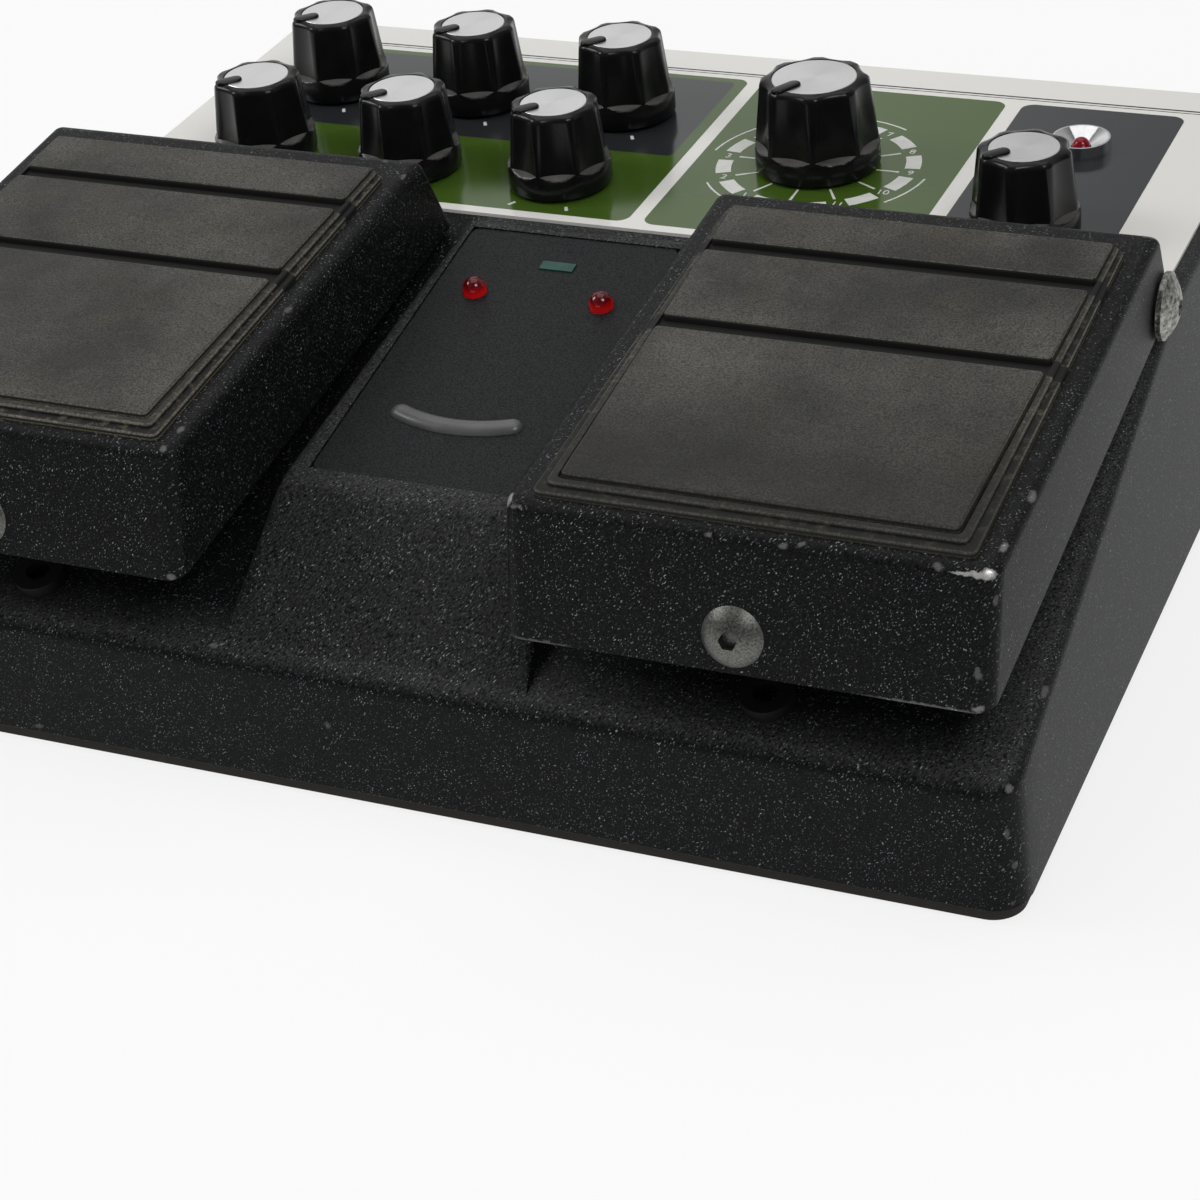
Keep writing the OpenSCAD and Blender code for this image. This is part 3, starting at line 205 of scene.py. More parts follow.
def round_corners(corners, steps=6):
    """A line through (y, z, radius) corners, with an arc of that radius at each."""
    line = []
    for before, corner, after in zip([corners[0]] + corners, corners, corners[1:] + [corners[-1]]):
        spot = Vector(corner[:2])
        radius = corner[2]
        if radius == 0:
            line.append(tuple(spot))
            continue
        to_before = (Vector(before[:2]) - spot).normalized()
        to_after = (Vector(after[:2]) - spot).normalized()
        half_angle = to_before.angle(to_after) / 2
        reach = radius / math.tan(half_angle)
        centre = spot + (to_before + to_after).normalized() * radius / math.sin(half_angle)
        start = spot + to_before * reach - centre
        turn = start.angle_signed(spot + to_after * reach - centre)
        for step in range(steps + 1):
            line.append(tuple(centre + Matrix.Rotation(-turn * step / steps, 2) @ start))
    return line


def arc_drop(distance, radius):
    """How far a rounded edge has dropped at this distance from its side."""
    reach = max(radius - distance, 0)
    return radius - math.sqrt(max(radius * radius - reach * reach, 0))


console_front = console_rear - console_length
console_end = console_rear + console_drop
console_line = round_corners([
    (case_front, deck_z(case_front), 0), (console_foot, deck_z(console_foot), foot_round),
    (console_front, console_rear_z - console_length * console_slope, front_round),
    (console_rear, console_rear_z, rear_round), (console_end, deck_z(console_end), 0),
    (case_rear, case_top + 0.001, 0)])
line_y, line_z = zip(*console_line)


def console_z(y):
    """Height of the console's middle line, or of the deck where there is no console."""
    return max(float(np.interp(y, line_y, line_z)), deck_z(y)) if y < platform_y else case_top


def case_half_at(z):
    """Half width of the drafted case at a height."""
    return case_half - draft * (z - case_foot)


def rim_half(y):
    """Half width of the case's rim at y, with its rounded upright corners."""
    into = min(y - deck_front_y, case_rear - y, case_corner)
    back = case_corner - into
    return case_half_at(deck_z(y)) - case_corner + math.sqrt(max(case_corner ** 2 - back ** 2, 0))


def rim_distance(x, y):
    """Distance of a point on the deck from the case's rim."""
    across = abs(x) - (case_half_at(deck_z(y)) - case_corner)
    along = max(deck_front_y + case_corner - y, y - (case_rear - case_corner))
    if across > 0 and along > 0:
        return max(case_corner - math.hypot(across, along), 0)
    return max(case_corner - max(across, along), 0)


def bend(start, corner, end, steps):
    """Points of a smooth bend from start to end round a corner."""
    points = []
    for step in range(steps + 1):
        t = step / steps
        points.append(tuple((1 - t) ** 2 * a + 2 * t * (1 - t) * b + t * t * c
                            for a, b, c in zip(start, corner, end)))
    return points


rim_steps = [0, 0.06, 0.24, 0.55, 1.0, 1.6, shoulder, 3.6, case_corner]


def case_row(y):
    """Right half of the case's top along one y, as (x, z) from the middle to the rim."""
    floor, top = deck_z(y), console_z(y)
    height = top - floor
    sunk = label_recess if label_front < y < label_rear else 0
    edge = console_half + (console_rear_z - top) * console_flare
    foot = console_half + (console_rear_z - floor) * console_flare
    nose = min(max((nose_rear - y) / nose_length, 0), 1)
    turn = min(console_edge, edge_share * height)
    fillet = min(console_fillet + (nose_fillet - console_fillet) * nose, fillet_share * height)
    row = [(x, top - sunk) for x in (0, label_half / 2, label_half)] + [(label_half + recess_edge, top)]
    row += bend((edge - max(turn, least_bend), top), (edge, top),
                (edge + turn * console_flare, top - turn), 5)
    row += bend((foot - fillet * console_flare, floor + fillet), (foot, floor),
                (foot + max(fillet, least_bend), floor), 4)
    limit = rim_half(y)
    row += [(x, floor) for x in deck_columns]
    row += [(limit - step, floor) for step in reversed(rim_steps)]
    return [(x, z - arc_drop(rim_distance(x, y), shoulder)) for x, z in row]


row_places = set(y for y in line_y if deck_front_y < y < case_rear)
row_places |= set(deck_front_y + step for step in rim_steps) | set(case_rear - step for step in rim_steps)
row_places |= {end + step for end in (label_front, label_rear) for step in (-recess_edge, recess_edge)}
row_places = sorted(row_places | {platform_y} | set(deck_rows))
rows = []
for y in row_places:
    half_row = case_row(y)
    rows.append([(-x, y, z) for x, z in reversed(half_row[1:])] + [(x, y, z) for x, z in half_row])


def foot_point(x, y, z):
    """Where the drafted wall under a rim point meets the case's foot."""
    top_flat = case_half_at(z + shoulder) - case_corner
    foot_flat = case_half - case_corner
    spread = draft * (z + shoulder - case_foot)
    side = math.copysign(min(abs(x) / top_flat, 1) * foot_flat + max(abs(x) - top_flat, 0), x)
    lead = min((case_rear - y) / (case_rear - deck_front_y - case_corner), 1)
    return side, y - spread * lead, case_foot


def new_mesh(name, points, faces):
    """A mesh from points in millimetres."""
    mesh = bpy.data.meshes.new(name)
    mesh.from_pydata([tuple(c * mm for c in p) for p in points], [], faces)
    return mesh


def smooth(mesh, angle=35):
    """Shades a mesh smooth, apart from edges sharper than an angle."""
    mesh.shade_smooth()
    mesh.set_sharp_from_angle(angle=math.radians(angle))


def clean(mesh, angle=35, doubles=0.002):
    """Merges a mesh's doubles, turns its faces outwards and shades it smooth below an angle."""
    work = bmesh.new()
    work.from_mesh(mesh)
    bmesh.ops.remove_doubles(work, verts=work.verts, dist=doubles * mm)
    bmesh.ops.dissolve_degenerate(work, edges=work.edges, dist=doubles * mm)
    bmesh.ops.recalc_face_normals(work, faces=work.faces)
    work.to_mesh(mesh)
    work.free()
    smooth(mesh, angle)
    mesh.update()


# The skin is a lattice of rows. Its rim runs once round the case, and the wall goes down from the rim to
# the broken edge of the foot and back up to the inner face.
count = len(rows[0])
skin = [p for row in rows for p in row]
last = len(rows) - 1
rim = [j for j in range(count)] + [i * count + count - 1 for i in range(1, last + 1)]
rim += [last * count + j for j in range(count - 2, -1, -1)] + [i * count for i in range(last - 1, 0, -1)]
draw_in = [1 - case_wall / case_half, 1 - case_wall / case_rear]


def inside(x, y, z):
    """The point of the casting's inner face behind a point of its outer face."""
    return x * draw_in[0], y * draw_in[1], max(z - case_wall, case_foot)


feet = [foot_point(*skin[index]) for index in rim]
broken = [(x * (1 - foot_break / case_half), y * (1 - foot_break / case_rear), z) for x, y, z in feet]
points = skin + [inside(*p) for p in skin]
outer_foot = len(points)
points += [(x, y, z + foot_break) for x, y, z in feet] + broken + [inside(*p) for p in feet]
around = len(rim)
faces = []
for i in range(last):
    for j in range(count - 1):
        square = (i * count + j, i * count + j + 1, (i + 1) * count + j + 1, (i + 1) * count + j)
        faces += [square, tuple(len(skin) + corner for corner in reversed(square))]
for k in range(around):
    n = (k + 1) % around
    inner = [len(skin) + rim[k], len(skin) + rim[n]]
    ring = [(outer_foot + r * around + k, outer_foot + r * around + n) for r in range(3)]
    faces.append((rim[n], rim[k], *ring[0]))
    faces += [(*reversed(ring[r]), *ring[r + 1]) for r in range(2)]
    faces.append((*reversed(ring[2]), *inner))
case_mesh = new_mesh("case_casting", points, faces)
clean(case_mesh)
case_piece = link_object("case_casting", case_mesh)


def finished(piece):
    """Applies a piece's modifiers, so that it is a plain mesh."""
    mesh = bpy.data.meshes.new_from_object(piece.evaluated_get(bpy.context.evaluated_depsgraph_get()))
    old = piece.data
    piece.modifiers.clear()
    piece.data = mesh
    mesh.name = piece.name
    bpy.data.meshes.remove(old)


def cut_out(piece, cutter):
    """Cuts one piece out of another, and removes it."""
    cut = piece.modifiers.new("cut", "BOOLEAN")
    cut.object = cutter
    cut.solver = "EXACT"
    finished(piece)
    bpy.data.objects.remove(cutter)


def lofted(name, rings):
    """A closed solid through rings that have as many points each."""
    around, faces = len(rings[0]), []
    for low in range(0, (len(rings) - 1) * around, around):
        for k in range(around):
            n = (k + 1) % around
            faces.append((low + k, low + n, low + around + n, low + around + k))
    faces.append(tuple(range(around - 1, -1, -1)))
    faces.append(tuple((len(rings) - 1) * around + k for k in range(around)))
    return new_mesh(name, [point for ring in rings for point in ring], faces)


def turned(name, profile, place, sides=48):
    """A solid of revolution from (radius, height) points, each placed by place(a, b, height)."""
    turns = [2 * math.pi * k / sides for k in range(sides)]
    return lofted(name, [[place(radius * math.cos(turn), radius * math.sin(turn), height) for turn in turns]
                         for radius, height in profile])


def join(piece, *meshes):
    """Joins meshes into a piece's own mesh."""
    work = bmesh.new()
    for mesh in (piece.data, *meshes):
        work.from_mesh(mesh)
    work.to_mesh(piece.data)
    work.free()
    for mesh in meshes:
        bpy.data.meshes.remove(mesh)


socket_places, socket_z, socket_hole = (62, 40, 8, -18, -40), 18.0, 5.6
inlet_place, inlet_hole = -64, 4.6
cutters = link_object("rear_holes", bpy.data.meshes.new("rear_holes"))
for x, radius in [(x, socket_hole) for x in socket_places] + [(inlet_place, inlet_hole)]:
    hole = turned("hole", [(radius, case_rear - 2 * case_wall), (radius, case_rear + case_wall)],
                  lambda a, b, h, x=x: (x + b, h, socket_z + a))
    join(cutters, hole)
clean(cutters.data)
cut_out(case_piece, cutters)
smooth(case_piece.data)

# The bosses that carry the hinges, and the seats of the return springs, are cast on the deck.
hinge_y, hinge_z, boss_r, boss_l, boss_root = -0.4, 45.2, 3.4, 6.5, 1
boss_places = (28.35, 74.45)
spring_x, spring_y, seat_r, seat_low, seat_top, seat_edge = 53.15, -39.2, 7.4, 24.0, 31.5, 0.4


def boss(x0, radius, length, low):
    """A hinge boss, or the room for one: a round eye on a square post."""
    sides = 24
    outline = [(hinge_y + radius, low), (hinge_y + radius, hinge_z)]
    outline += [(hinge_y + radius * math.cos(a), hinge_z + radius * math.sin(a))
                for a in (math.pi * k / sides for k in range(1, sides))]
    outline += [(hinge_y - radius, hinge_z), (hinge_y - radius, low)]
    mesh = lofted("boss", [[(x, y, z) for y, z in outline] for x in (x0, x0 + length)])
    clean(mesh)
    return mesh


seat_line = [(seat_r, seat_low), (seat_r, seat_top - seat_edge), (seat_r - seat_edge, seat_top)]
for sign in (1, -1):
    for x0 in boss_places:
        join(case_piece, boss(x0 if sign > 0 else -x0 - boss_l, boss_r, boss_l, deck_z(hinge_y) - boss_root))
    seat = turned("seat", seat_line, lambda a, b, h, sign=sign: (sign * spring_x + a, spring_y + b, h))
    clean(seat)
    join(case_piece, seat)


def node_tree(name, kind, inputs, outputs):
    """An empty node tree with these named sockets, as {name: kind}."""
    tree = bpy.data.node_groups.new(name, kind)
    for in_out, sockets in (("INPUT", inputs), ("OUTPUT", outputs)):
        for label, socket in sockets.items():
            tree.interface.new_socket(label, in_out=in_out, socket_type="NodeSocket" + socket)
    return tree, tree.nodes.new("NodeGroupInput"), tree.nodes.new("NodeGroupOutput")


def fill_group(group, out, **values):
    """Links a group's outputs."""
    for name, socket in values.items():
        group.links.new(socket, out.inputs[name])


def vector(tree, operation, *values, **named):
    """The output of a Vector Math node on these values or links."""
    node = add(tree, "ShaderNodeVectorMath", {**dict(enumerate(values)), **named}, operation=operation)
    return node.outputs["Value" if operation in ("LENGTH", "DOT_PRODUCT") else "Vector"]


def noise(tree, spot, scale, detail=2.0, roughness=0.5):
    """A soft noise at a place, its scale in lumps to the metre."""
    return add(tree, "ShaderNodeTexNoise", {
        "Vector": spot, "Scale": scale, "Detail": detail, "Roughness": roughness}).outputs["Fac"]


# Shared by all coated castings: flecks in the coat, whose colour is painted bright as a painted glint of its
# metal flakes, and the orange peel of its surface.
fleck_size, drift_size = 0.21, 2.4
coat_group, given, out = node_tree("sparkle_coat", "ShaderNodeTree", {
    "Fleck Size": "Float", "Drift Size": "Float"}, {"Fleck": "Float", "Grain": "Float"})
spot = add(coat_group, "ShaderNodeMapping", {
    "Vector": add(coat_group, "ShaderNodeTexCoord").outputs["Object"], "Rotation": (0.5, -0.58, 0.81),
    "Scale": (2, 1, 1)}, vector_type="TEXTURE").outputs[0]
fine = calc(coat_group, "DIVIDE", 1000.0, given.outputs["Fleck Size"])
glint_bits = ranged(coat_group, noise(coat_group, spot, fine, 1.0), 0.64, 0.87)
wide = calc(coat_group, "DIVIDE", 1000.0, given.outputs["Drift Size"])
drift = ranged(coat_group, noise(coat_group, spot, wide), 0.35, 0.65, 0.35, 1.0)
fill_group(coat_group, out, Fleck=calc(coat_group, "MULTIPLY", glint_bits, drift),
           Grain=noise(coat_group, spot, 4000.0, 3.0, 0.6))

# A knock in the coat: one where the ragged place lies inside an oval round its centre.
chip_group, given, out = node_tree("bare_chip", "ShaderNodeTree", {
    "Place": "Vector", "Centre": "Vector", "Size": "Vector"}, {"Mask": "Float"})
away = vector(chip_group, "SUBTRACT", given.outputs["Place"], given.outputs["Centre"])
reach = vector(chip_group, "LENGTH", vector(chip_group, "DIVIDE", away, given.outputs["Size"]))
fill_group(chip_group, out, Mask=ranged(chip_group, reach, 1.15, 0.6))


def new_material(name):
    """A material with a Principled shader, its tree, its shader and its place on the object."""
    material = bpy.data.materials.new(name)
    material.use_nodes = True
    tree = material.node_tree
    spot = add(tree, "ShaderNodeTexCoord").outputs["Object"]
    return material, tree, tree.nodes["Principled BSDF"], spot


def mix(tree, factor, a, b):
    """Colour a where the factor is zero and b where it is one."""
    return add(tree, "ShaderNodeMix", {0: factor, 6: a, 7: b}, data_type="RGBA").outputs[2]


def set_shader(tree, shader, **sockets):
    """Fills a shader's sockets, named with underscores, with values or links."""
    for name, value in sockets.items():
        fill(tree, shader.inputs[name.replace("_", " ")], value)


def group_node(tree, group, sockets):
    """Places a node group in a tree with its own values or links."""
    return add(tree, "ShaderNodeGroup", sockets, node_tree=group)


def in_metres(*sizes):
    """Millimetres as metres."""
    return tuple(size * mm for size in sizes)


def bump(tree, height, strength, depth):
    """A bump normal from a height, depth in millimetres."""
    return add(tree, "ShaderNodeBump",
               {"Height": height, "Strength": strength, "Distance": depth * mm}).outputs[0]


def looking_up(tree, steep, level):
    """One on level faces that look up, and zero on steep ones."""
    return ranged(tree, split(tree, add(tree, "ShaderNodeNewGeometry").outputs["Normal"])["Z"], steep, level)


def dress(mesh, material):
    """Gives a mesh its one material."""
    mesh.materials.clear()
    mesh.materials.append(material)


bare_metal, bare_rough = (0.56, 0.55, 0.53, 1), 0.32
chip_jag = 1.0
# Borders of the painted shadow on the deck under a pedal, each from lit to shadowed.
pedal_shadow_borders = [("X", 18.5, 21.5), ("X", 82.0, 76.0), ("Y", -72.5, -66.5)]


def coated(name, dark, pale, fleck_glint, roughness, settled, pedal_shadow, chips):
    """Black powder coat with sparkle for a casting, with dust settled on it and a painted shadow under the
    pedals, where the dust is left out, and chips as (x, y, z, three half sizes, shine)."""
    material, tree, shader, spot = new_material(name)
    coat = group_node(tree, coat_group, {"Fleck Size": fleck_size, "Drift Size": drift_size})
    jag = add(tree, "ShaderNodeTexNoise", {
        "Vector": spot, "Scale": 950.0, "Detail": 5.0, "Roughness": 0.65}).outputs["Color"]
    shift = vector(tree, "SCALE", vector(tree, "SUBTRACT", jag, (0.5, 0.5, 0.5)), Scale=chip_jag * mm)
    ragged = vector(tree, "ADD", spot, shift)
    bare = 0.0
    for x, y, z, long, deep, high, shine in chips:
        chip = group_node(tree, chip_group, {
            "Place": ragged, "Centre": in_metres(x, y, z), "Size": in_metres(long, deep, high)})
        bare = calc(tree, "MAXIMUM", bare, calc(tree, "MULTIPLY", chip.outputs["Mask"], shine))
    grain = ranged(tree, coat.outputs["Grain"], 0.34, 0.68)
    colour = mix(tree, grain, (*dark, 1), (*pale, 1))
    dust_and_shadow = calc(tree, "MULTIPLY", looking_up(tree, 0.45, 0.9), grain)
    axes = split(tree, spot)
    place = {"X": calc(tree, "ABSOLUTE", axes["X"]), "Y": axes["Y"]}
    # Painted shadow under the pedals: the settled dust is left out there, so the deck is darker.
    painted_shadow = pedal_shadow
    for axis, lit_mm, shadowed_mm in pedal_shadow_borders:
        painted_shadow = calc(tree, "MULTIPLY", painted_shadow, ranged(tree, place[axis], lit_mm * mm, shadowed_mm * mm))
    dust_and_shadow = calc(tree, "MULTIPLY", dust_and_shadow, calc(tree, "SUBTRACT", 1.0, painted_shadow))
    colour = mix(tree, dust_and_shadow, colour, (settled, settled, settled, 1))
    # The flecks get a bright colour: a painted glint for the coat's metal flakes.
    colour = mix(tree, coat.outputs["Fleck"], colour, (*fleck_glint, 1))
    set_shader(tree, shader, Base_Color=mix(tree, bare, colour, bare_metal), Specular_IOR_Level=0.095,
               Roughness=ranged(tree, bare, 0, 1, roughness, bare_rough),
               Metallic=calc(tree, "MULTIPLY", bare, 0.6),
               Normal=bump(tree, coat.outputs["Grain"], 0.9, 0.05))
    return material


case_coat = coated(
    "case_powder_coat", dark=(0.0014, 0.0015, 0.0018), pale=(0.0095, 0.01, 0.0105), fleck_glint=(0.5, 0.56, 0.58),
    roughness=0.42, settled=0.052, pedal_shadow=1.0, chips=[
        (84.5, -58.8, 22.7, 0.5, 1.2, 0.5, 0.14), (84.1, -72.9, 18.4, 0.6, 0.6, 0.6, 0.2),
        (84.1, -74.1, 12.5, 0.4, 0.4, 0.7, 0.12), (85.0, -73.9, 7.8, 0.4, 0.5, 0.6, 0.12),
        (84.6, -74.4, 2.6, 0.6, 0.6, 0.5, 0.16), (-22.6, -73.3, 19.5, 0.6, 0.5, 0.4, 0.12),
        (-6.0, -75.5, 11.5, 0.5, 0.4, 0.5, 0.1), (-51.3, -76.1, 2.9, 0.7, 0.4, 0.4, 0.12)])
dress(case_piece.data, case_coat)
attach(case_piece, "case")
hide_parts("top_case")

# Foot pedals: two cast shells, open below, hinged on the deck's bosses at their heels and coated
# like the case. Posts under each roof meet the spring, the switch plunger and the bump stop.
pedal_in, pedal_out, pedal_wall = 22.5, 83.8, 2.5
tread_slope = math.radians(4.88)
tread_front_y, tread_front_z, tread_rear_y = -74.6, 49.3, -0.6
lip_y, lip_z, heel_y, heel_z = -78.2, 32.2, 6.2, 42.56
pedal_corner, pedal_rear_corner, pedal_edge = 2.4, 1.5, 1.4
hinge_room = 0.35
inner_room, outer_room = (25.2, 10.4), (73.4, 7.8)
post_r, cap_r, hub_root, hub_end = 3.0, 6.4, 0.1, 28.0
bump_x, bump_y, stop_post_z = 52.2, -67.5, 27.82
switch_post_z, spring_top = 35.55, 48.0


def tread_z(y):
    """Height of a pedal's top at y."""
    return tread_front_z + (y - tread_front_y) * math.tan(tread_slope)


def bevel_edges(work, edges, width, steps):
    """Rounds edges of a bmesh."""
    bmesh.ops.bevel(work, geom=edges, offset=width * mm, offset_type="OFFSET", segments=steps,
                    profile=0.5, affect="EDGES", clamp_overlap=True)


def both_sides(build):
    """Builds a right-hand mesh twice, and mirrors the second one with its faces still outwards."""
    yield "right", build()
    mesh = build()
    mesh.transform(Matrix.Scale(-1, 4, (1, 0, 0)))
    mesh.flip_normals()
    yield "left", mesh


def pedal_mesh():
    """Right pedal: a bevelled shell with its posts and its hub."""
    outline = [(lip_y, lip_z), (tread_front_y, tread_front_z), (tread_rear_y, tread_z(tread_rear_y)),
               (heel_y, heel_z)]
    points = [(x, y, z) for x in (pedal_in, pedal_out) for y, z in outline]
    faces = [(0, 4, 5, 1), (1, 5, 6, 2), (2, 6, 7, 3), (0, 1, 2, 3), (7, 6, 5, 4)]
    mesh = new_mesh("pedal", points, faces)
    work = bmesh.new()
    work.from_mesh(mesh)
    work.verts.ensure_lookup_table()
    front = [work.edges.get((work.verts[a], work.verts[b])) for a, b in ((0, 1), (4, 5))]
    rear = [work.edges.get((work.verts[a], work.verts[b])) for a, b in ((2, 3), (6, 7))]
    bevel_edges(work, front, pedal_corner, 6)
    bevel_edges(work, rear, pedal_rear_corner, 6)
    bmesh.ops.recalc_face_normals(work, faces=work.faces)
    if max(work.faces, key=lambda face: face.calc_area()).normal.z < 0:
        bmesh.ops.reverse_faces(work, faces=work.faces)
    tread_face = max(work.faces, key=lambda face: face.calc_area())
    bevel_edges(work, list(tread_face.edges), pedal_edge, 5)
    work.to_mesh(mesh)
    work.free()
    shell = link_object("pedal", mesh)
    wall = shell.modifiers.new("wall", "SOLIDIFY")
    wall.thickness = pedal_wall * mm
    wall.offset = -1
    wall.use_even_offset = True
    finished(shell)
    inner, outer = (boss(start, boss_r + hinge_room, length, lip_z)
                    for start, length in (inner_room, outer_room))
    rooms = link_object("rooms", inner)
    join(rooms, outer)
    cut_out(shell, rooms)
    roof = pedal_wall / 2
    for x, y, steps in (
        (bump_x, bump_y, [(post_r, stop_post_z), (post_r, tread_z(bump_y) - roof)]),
        (spring_x, spring_y, [(post_r, switch_post_z), (post_r, spring_top), (cap_r, spring_top),
                              (cap_r, tread_z(spring_y) - roof)]),
    ):
        join(shell, turned("post", steps, lambda a, b, h, x=x, y=y: (x + a, y + b, h)))
    join(shell, turned("hub", [(boss_r, pedal_in + pedal_wall - hub_root), (boss_r, hub_end)],
                       lambda a, b, h: (h, hinge_y + a, hinge_z + b)))
    mesh = shell.data
    bpy.data.objects.remove(shell)
    smooth(mesh)
    return mesh


pedal_coat = coated(
    "pedal_powder_coat", dark=(0.0014, 0.0015, 0.0017), pale=(0.0098, 0.0102, 0.0105),
    fleck_glint=(0.48, 0.53, 0.55), roughness=0.45, settled=0.012, pedal_shadow=0.0, chips=[
        (82.5, -74.3, 48.6, 0.85, 1.0, 0.55, 1.0), (81.3, -74.4, 48.6, 1.0, 0.7, 0.34, 0.9),
        (79.6, -74.5, 48.5, 1.7, 0.5, 0.2, 0.75),
        (23.1, -73.2, 48.6, 0.7, 0.9, 0.9, 0.6), (24.6, -74.2, 48.5, 0.9, 0.45, 0.4, 0.4),
        (83.1, -59.3, 50.1, 0.5, 1.3, 0.5, 0.22), (82.8, -69.6, 49.4, 0.5, 1.0, 0.5, 0.25),
        (76.6, -74.2, 48.8, 0.7, 0.5, 0.5, 0.14), (83.3, -74.4, 45.5, 0.4, 0.6, 0.7, 0.12),
        (81.9, -77.1, 37.0, 0.5, 0.5, 0.8, 0.14), (82.0, -77.8, 32.7, 0.8, 0.6, 0.4, 0.3),
        (23.0, -78.0, 32.7, 0.6, 0.5, 0.5, 0.3), (76.0, -78.2, 32.25, 7.5, 0.6, 0.25, 0.16),
        (27.0, -78.2, 32.25, 4.5, 0.6, 0.22, 0.14), (49.0, -74.4, 48.6, 0.5, 0.4, 0.4, 0.16),
        (58.1, -74.4, 48.6, 0.6, 0.4, 0.4, 0.16), (60.3, -74.1, 48.9, 0.5, 0.4, 0.4, 0.14),
        (82.6, -0.6, 55.4, 1.0, 1.0, 0.6, 0.3), (-24.0, -69.8, 49.6, 0.5, 0.9, 0.5, 0.16),
        (-24.4, -73.8, 49.1, 0.5, 0.6, 0.4, 0.16), (-23.5, -40.8, 52.0, 0.4, 1.1, 0.4, 0.12),
        (-23.5, -5.3, 55.0, 0.4, 0.9, 0.4, 0.14), (-28.0, -1.9, 55.4, 0.5, 0.4, 0.4, 0.12),
        (-24.0, -77.9, 32.6, 0.6, 0.5, 0.5, 0.2)])
pedals = {}
for side, mesh in both_sides(pedal_mesh):
    dress(mesh, pedal_coat)
    pedals[side] = link_object(side + "_pedal_casting", mesh)
    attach(pedals[side], side + "_foot")
    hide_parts(side + "_pedal")

# Treads: moulded rubber pads glued to the pedals, with a stepped border at the front and the sides
# and three raised sections between cross grooves. They are worn grey, with dust along the steps, and
# painted shade lies in the grooves and between the steps.
pad_in, pad_out, pad_front, pad_length, pad_corner, pad_round = 25.8, 80.6, 1.7, 66.3, 1.0, 0.35
foot_top, ridge_top, ridge_inset, ridge_width = 0.8, 1.4, 1.3, 1.1
island_border, island_top, island_corner, island_round = 2.75, 1.95, 0.8, 0.45
groove, groove_floor, groove_edge, border_taper = 2.4, 0.9, 0.5, 0.5
pad_sunk, island_foot, well_edge, well_over = -0.05, 0.5, 0.05, 1
island_lengths = [33.2, 16.4]
tread_normal = (0, -math.sin(tread_slope), math.cos(tread_slope))


def slab(x0, x1, y0, y1, z0, z1, corner, edge):
    """A plate with rounded upright corners and a rounded top edge."""
    points = [(x, y, z) for z in (z0, z1) for x, y in ((x0, y0), (x1, y0), (x1, y1), (x0, y1))]
    faces = [(3, 2, 1, 0), (4, 5, 6, 7)] + [(k, (k + 1) % 4, 4 + (k + 1) % 4, 4 + k) for k in range(4)]
    mesh = new_mesh("slab", points, faces)
    work = bmesh.new()
    work.from_mesh(mesh)
    if corner:
        upright = [e for e in work.edges if abs(e.verts[0].co.z - e.verts[1].co.z) > 1e-7]
        bevel_edges(work, upright, corner, 4)
    bevel_edges(work, [e for e in work.edges if all(v.co.z > (z1 - 1e-3) * mm for v in e.verts)], edge, 3)
    work.to_mesh(mesh)
    work.free()
    return mesh


on_tread = Matrix.Translation(Vector((0, tread_front_y, tread_front_z)) * mm) @ Matrix.Rotation(
    tread_slope, 4, "X")


def tread_mesh():
    """Right tread, in place on its pedal."""
    rear = pad_front + pad_length
    inner = ridge_inset + ridge_width
    pad = link_object("pad", slab(
        pad_in + ridge_inset, pad_out - ridge_inset, pad_front + ridge_inset, rear,
        pad_sunk, ridge_top, pad_corner, pad_round))
    cut_out(pad, link_object("well", slab(
        pad_in + inner, pad_out - inner, pad_front + inner, rear + well_over,
        groove_floor, ridge_top + well_over, island_corner, well_edge)))
    join(pad, slab(pad_in, pad_out, pad_front, rear, pad_sunk, foot_top, pad_corner, pad_round))
    y = pad_front + island_border
    for length in island_lengths + [None]:
        end = rear if length is None else y + length
        join(pad, slab(pad_in + island_border, pad_out - island_border, y, end, island_foot, island_top,
                       island_corner, island_round))
        y = end + groove
    mesh = pad.data
    bpy.data.objects.remove(pad)
    middle, half = (pad_in + pad_out) / 2 * mm, (pad_out - pad_in) / 2 * mm
    for vertex in mesh.vertices:
        back = (vertex.co.y / mm - pad_front) / pad_length
        off = vertex.co.x - middle
        vertex.co.x = middle + math.copysign(half - (half - abs(off)) * (1 - border_taper * back), off)
    mesh.transform(on_tread)
    smooth(mesh, 40)
    return mesh


tread_rubber, tree, shader, spot = new_material("tread_rubber")
lift = vector(tree, "DOT_PRODUCT", spot, tread_normal)
base_lift = (tread_front_z * tread_normal[2] + tread_front_y * tread_normal[1]) * mm
height = calc(tree, "MULTIPLY", calc(tree, "SUBTRACT", lift, base_lift), 1 / mm)
patches = noise(tree, spot, 42.0, 7.0, 0.62)
grit = noise(tree, spot, 3800.0)
rubbed = ranged(tree, patches, 0.38, 0.62)
speckle = ranged(tree, grit, 0.38, 0.62)
brown = ranged(tree, noise(tree, spot, 95.0, 5.0, 0.6), 0.5, 0.72)
worn = mix(tree, rubbed, (0.043, 0.0422, 0.0395, 1), (0.105, 0.101, 0.09, 1))
worn = mix(tree, calc(tree, "MULTIPLY", brown, 0.6), worn, (0.084, 0.069, 0.048, 1))
steps = add(tree, "ShaderNodeValToRGB", {0: calc(tree, "DIVIDE", height, island_top)})
dust, painted_shade, rub_line = (0.13, 0.114, 0.076, 1), (0.009, 0.009, 0.0085, 1), (0.125, 0.121, 0.1, 1)
ridge_tone, scuff_pale = (0.040, 0.039, 0.033, 1), (0.2, 0.178, 0.12, 1)
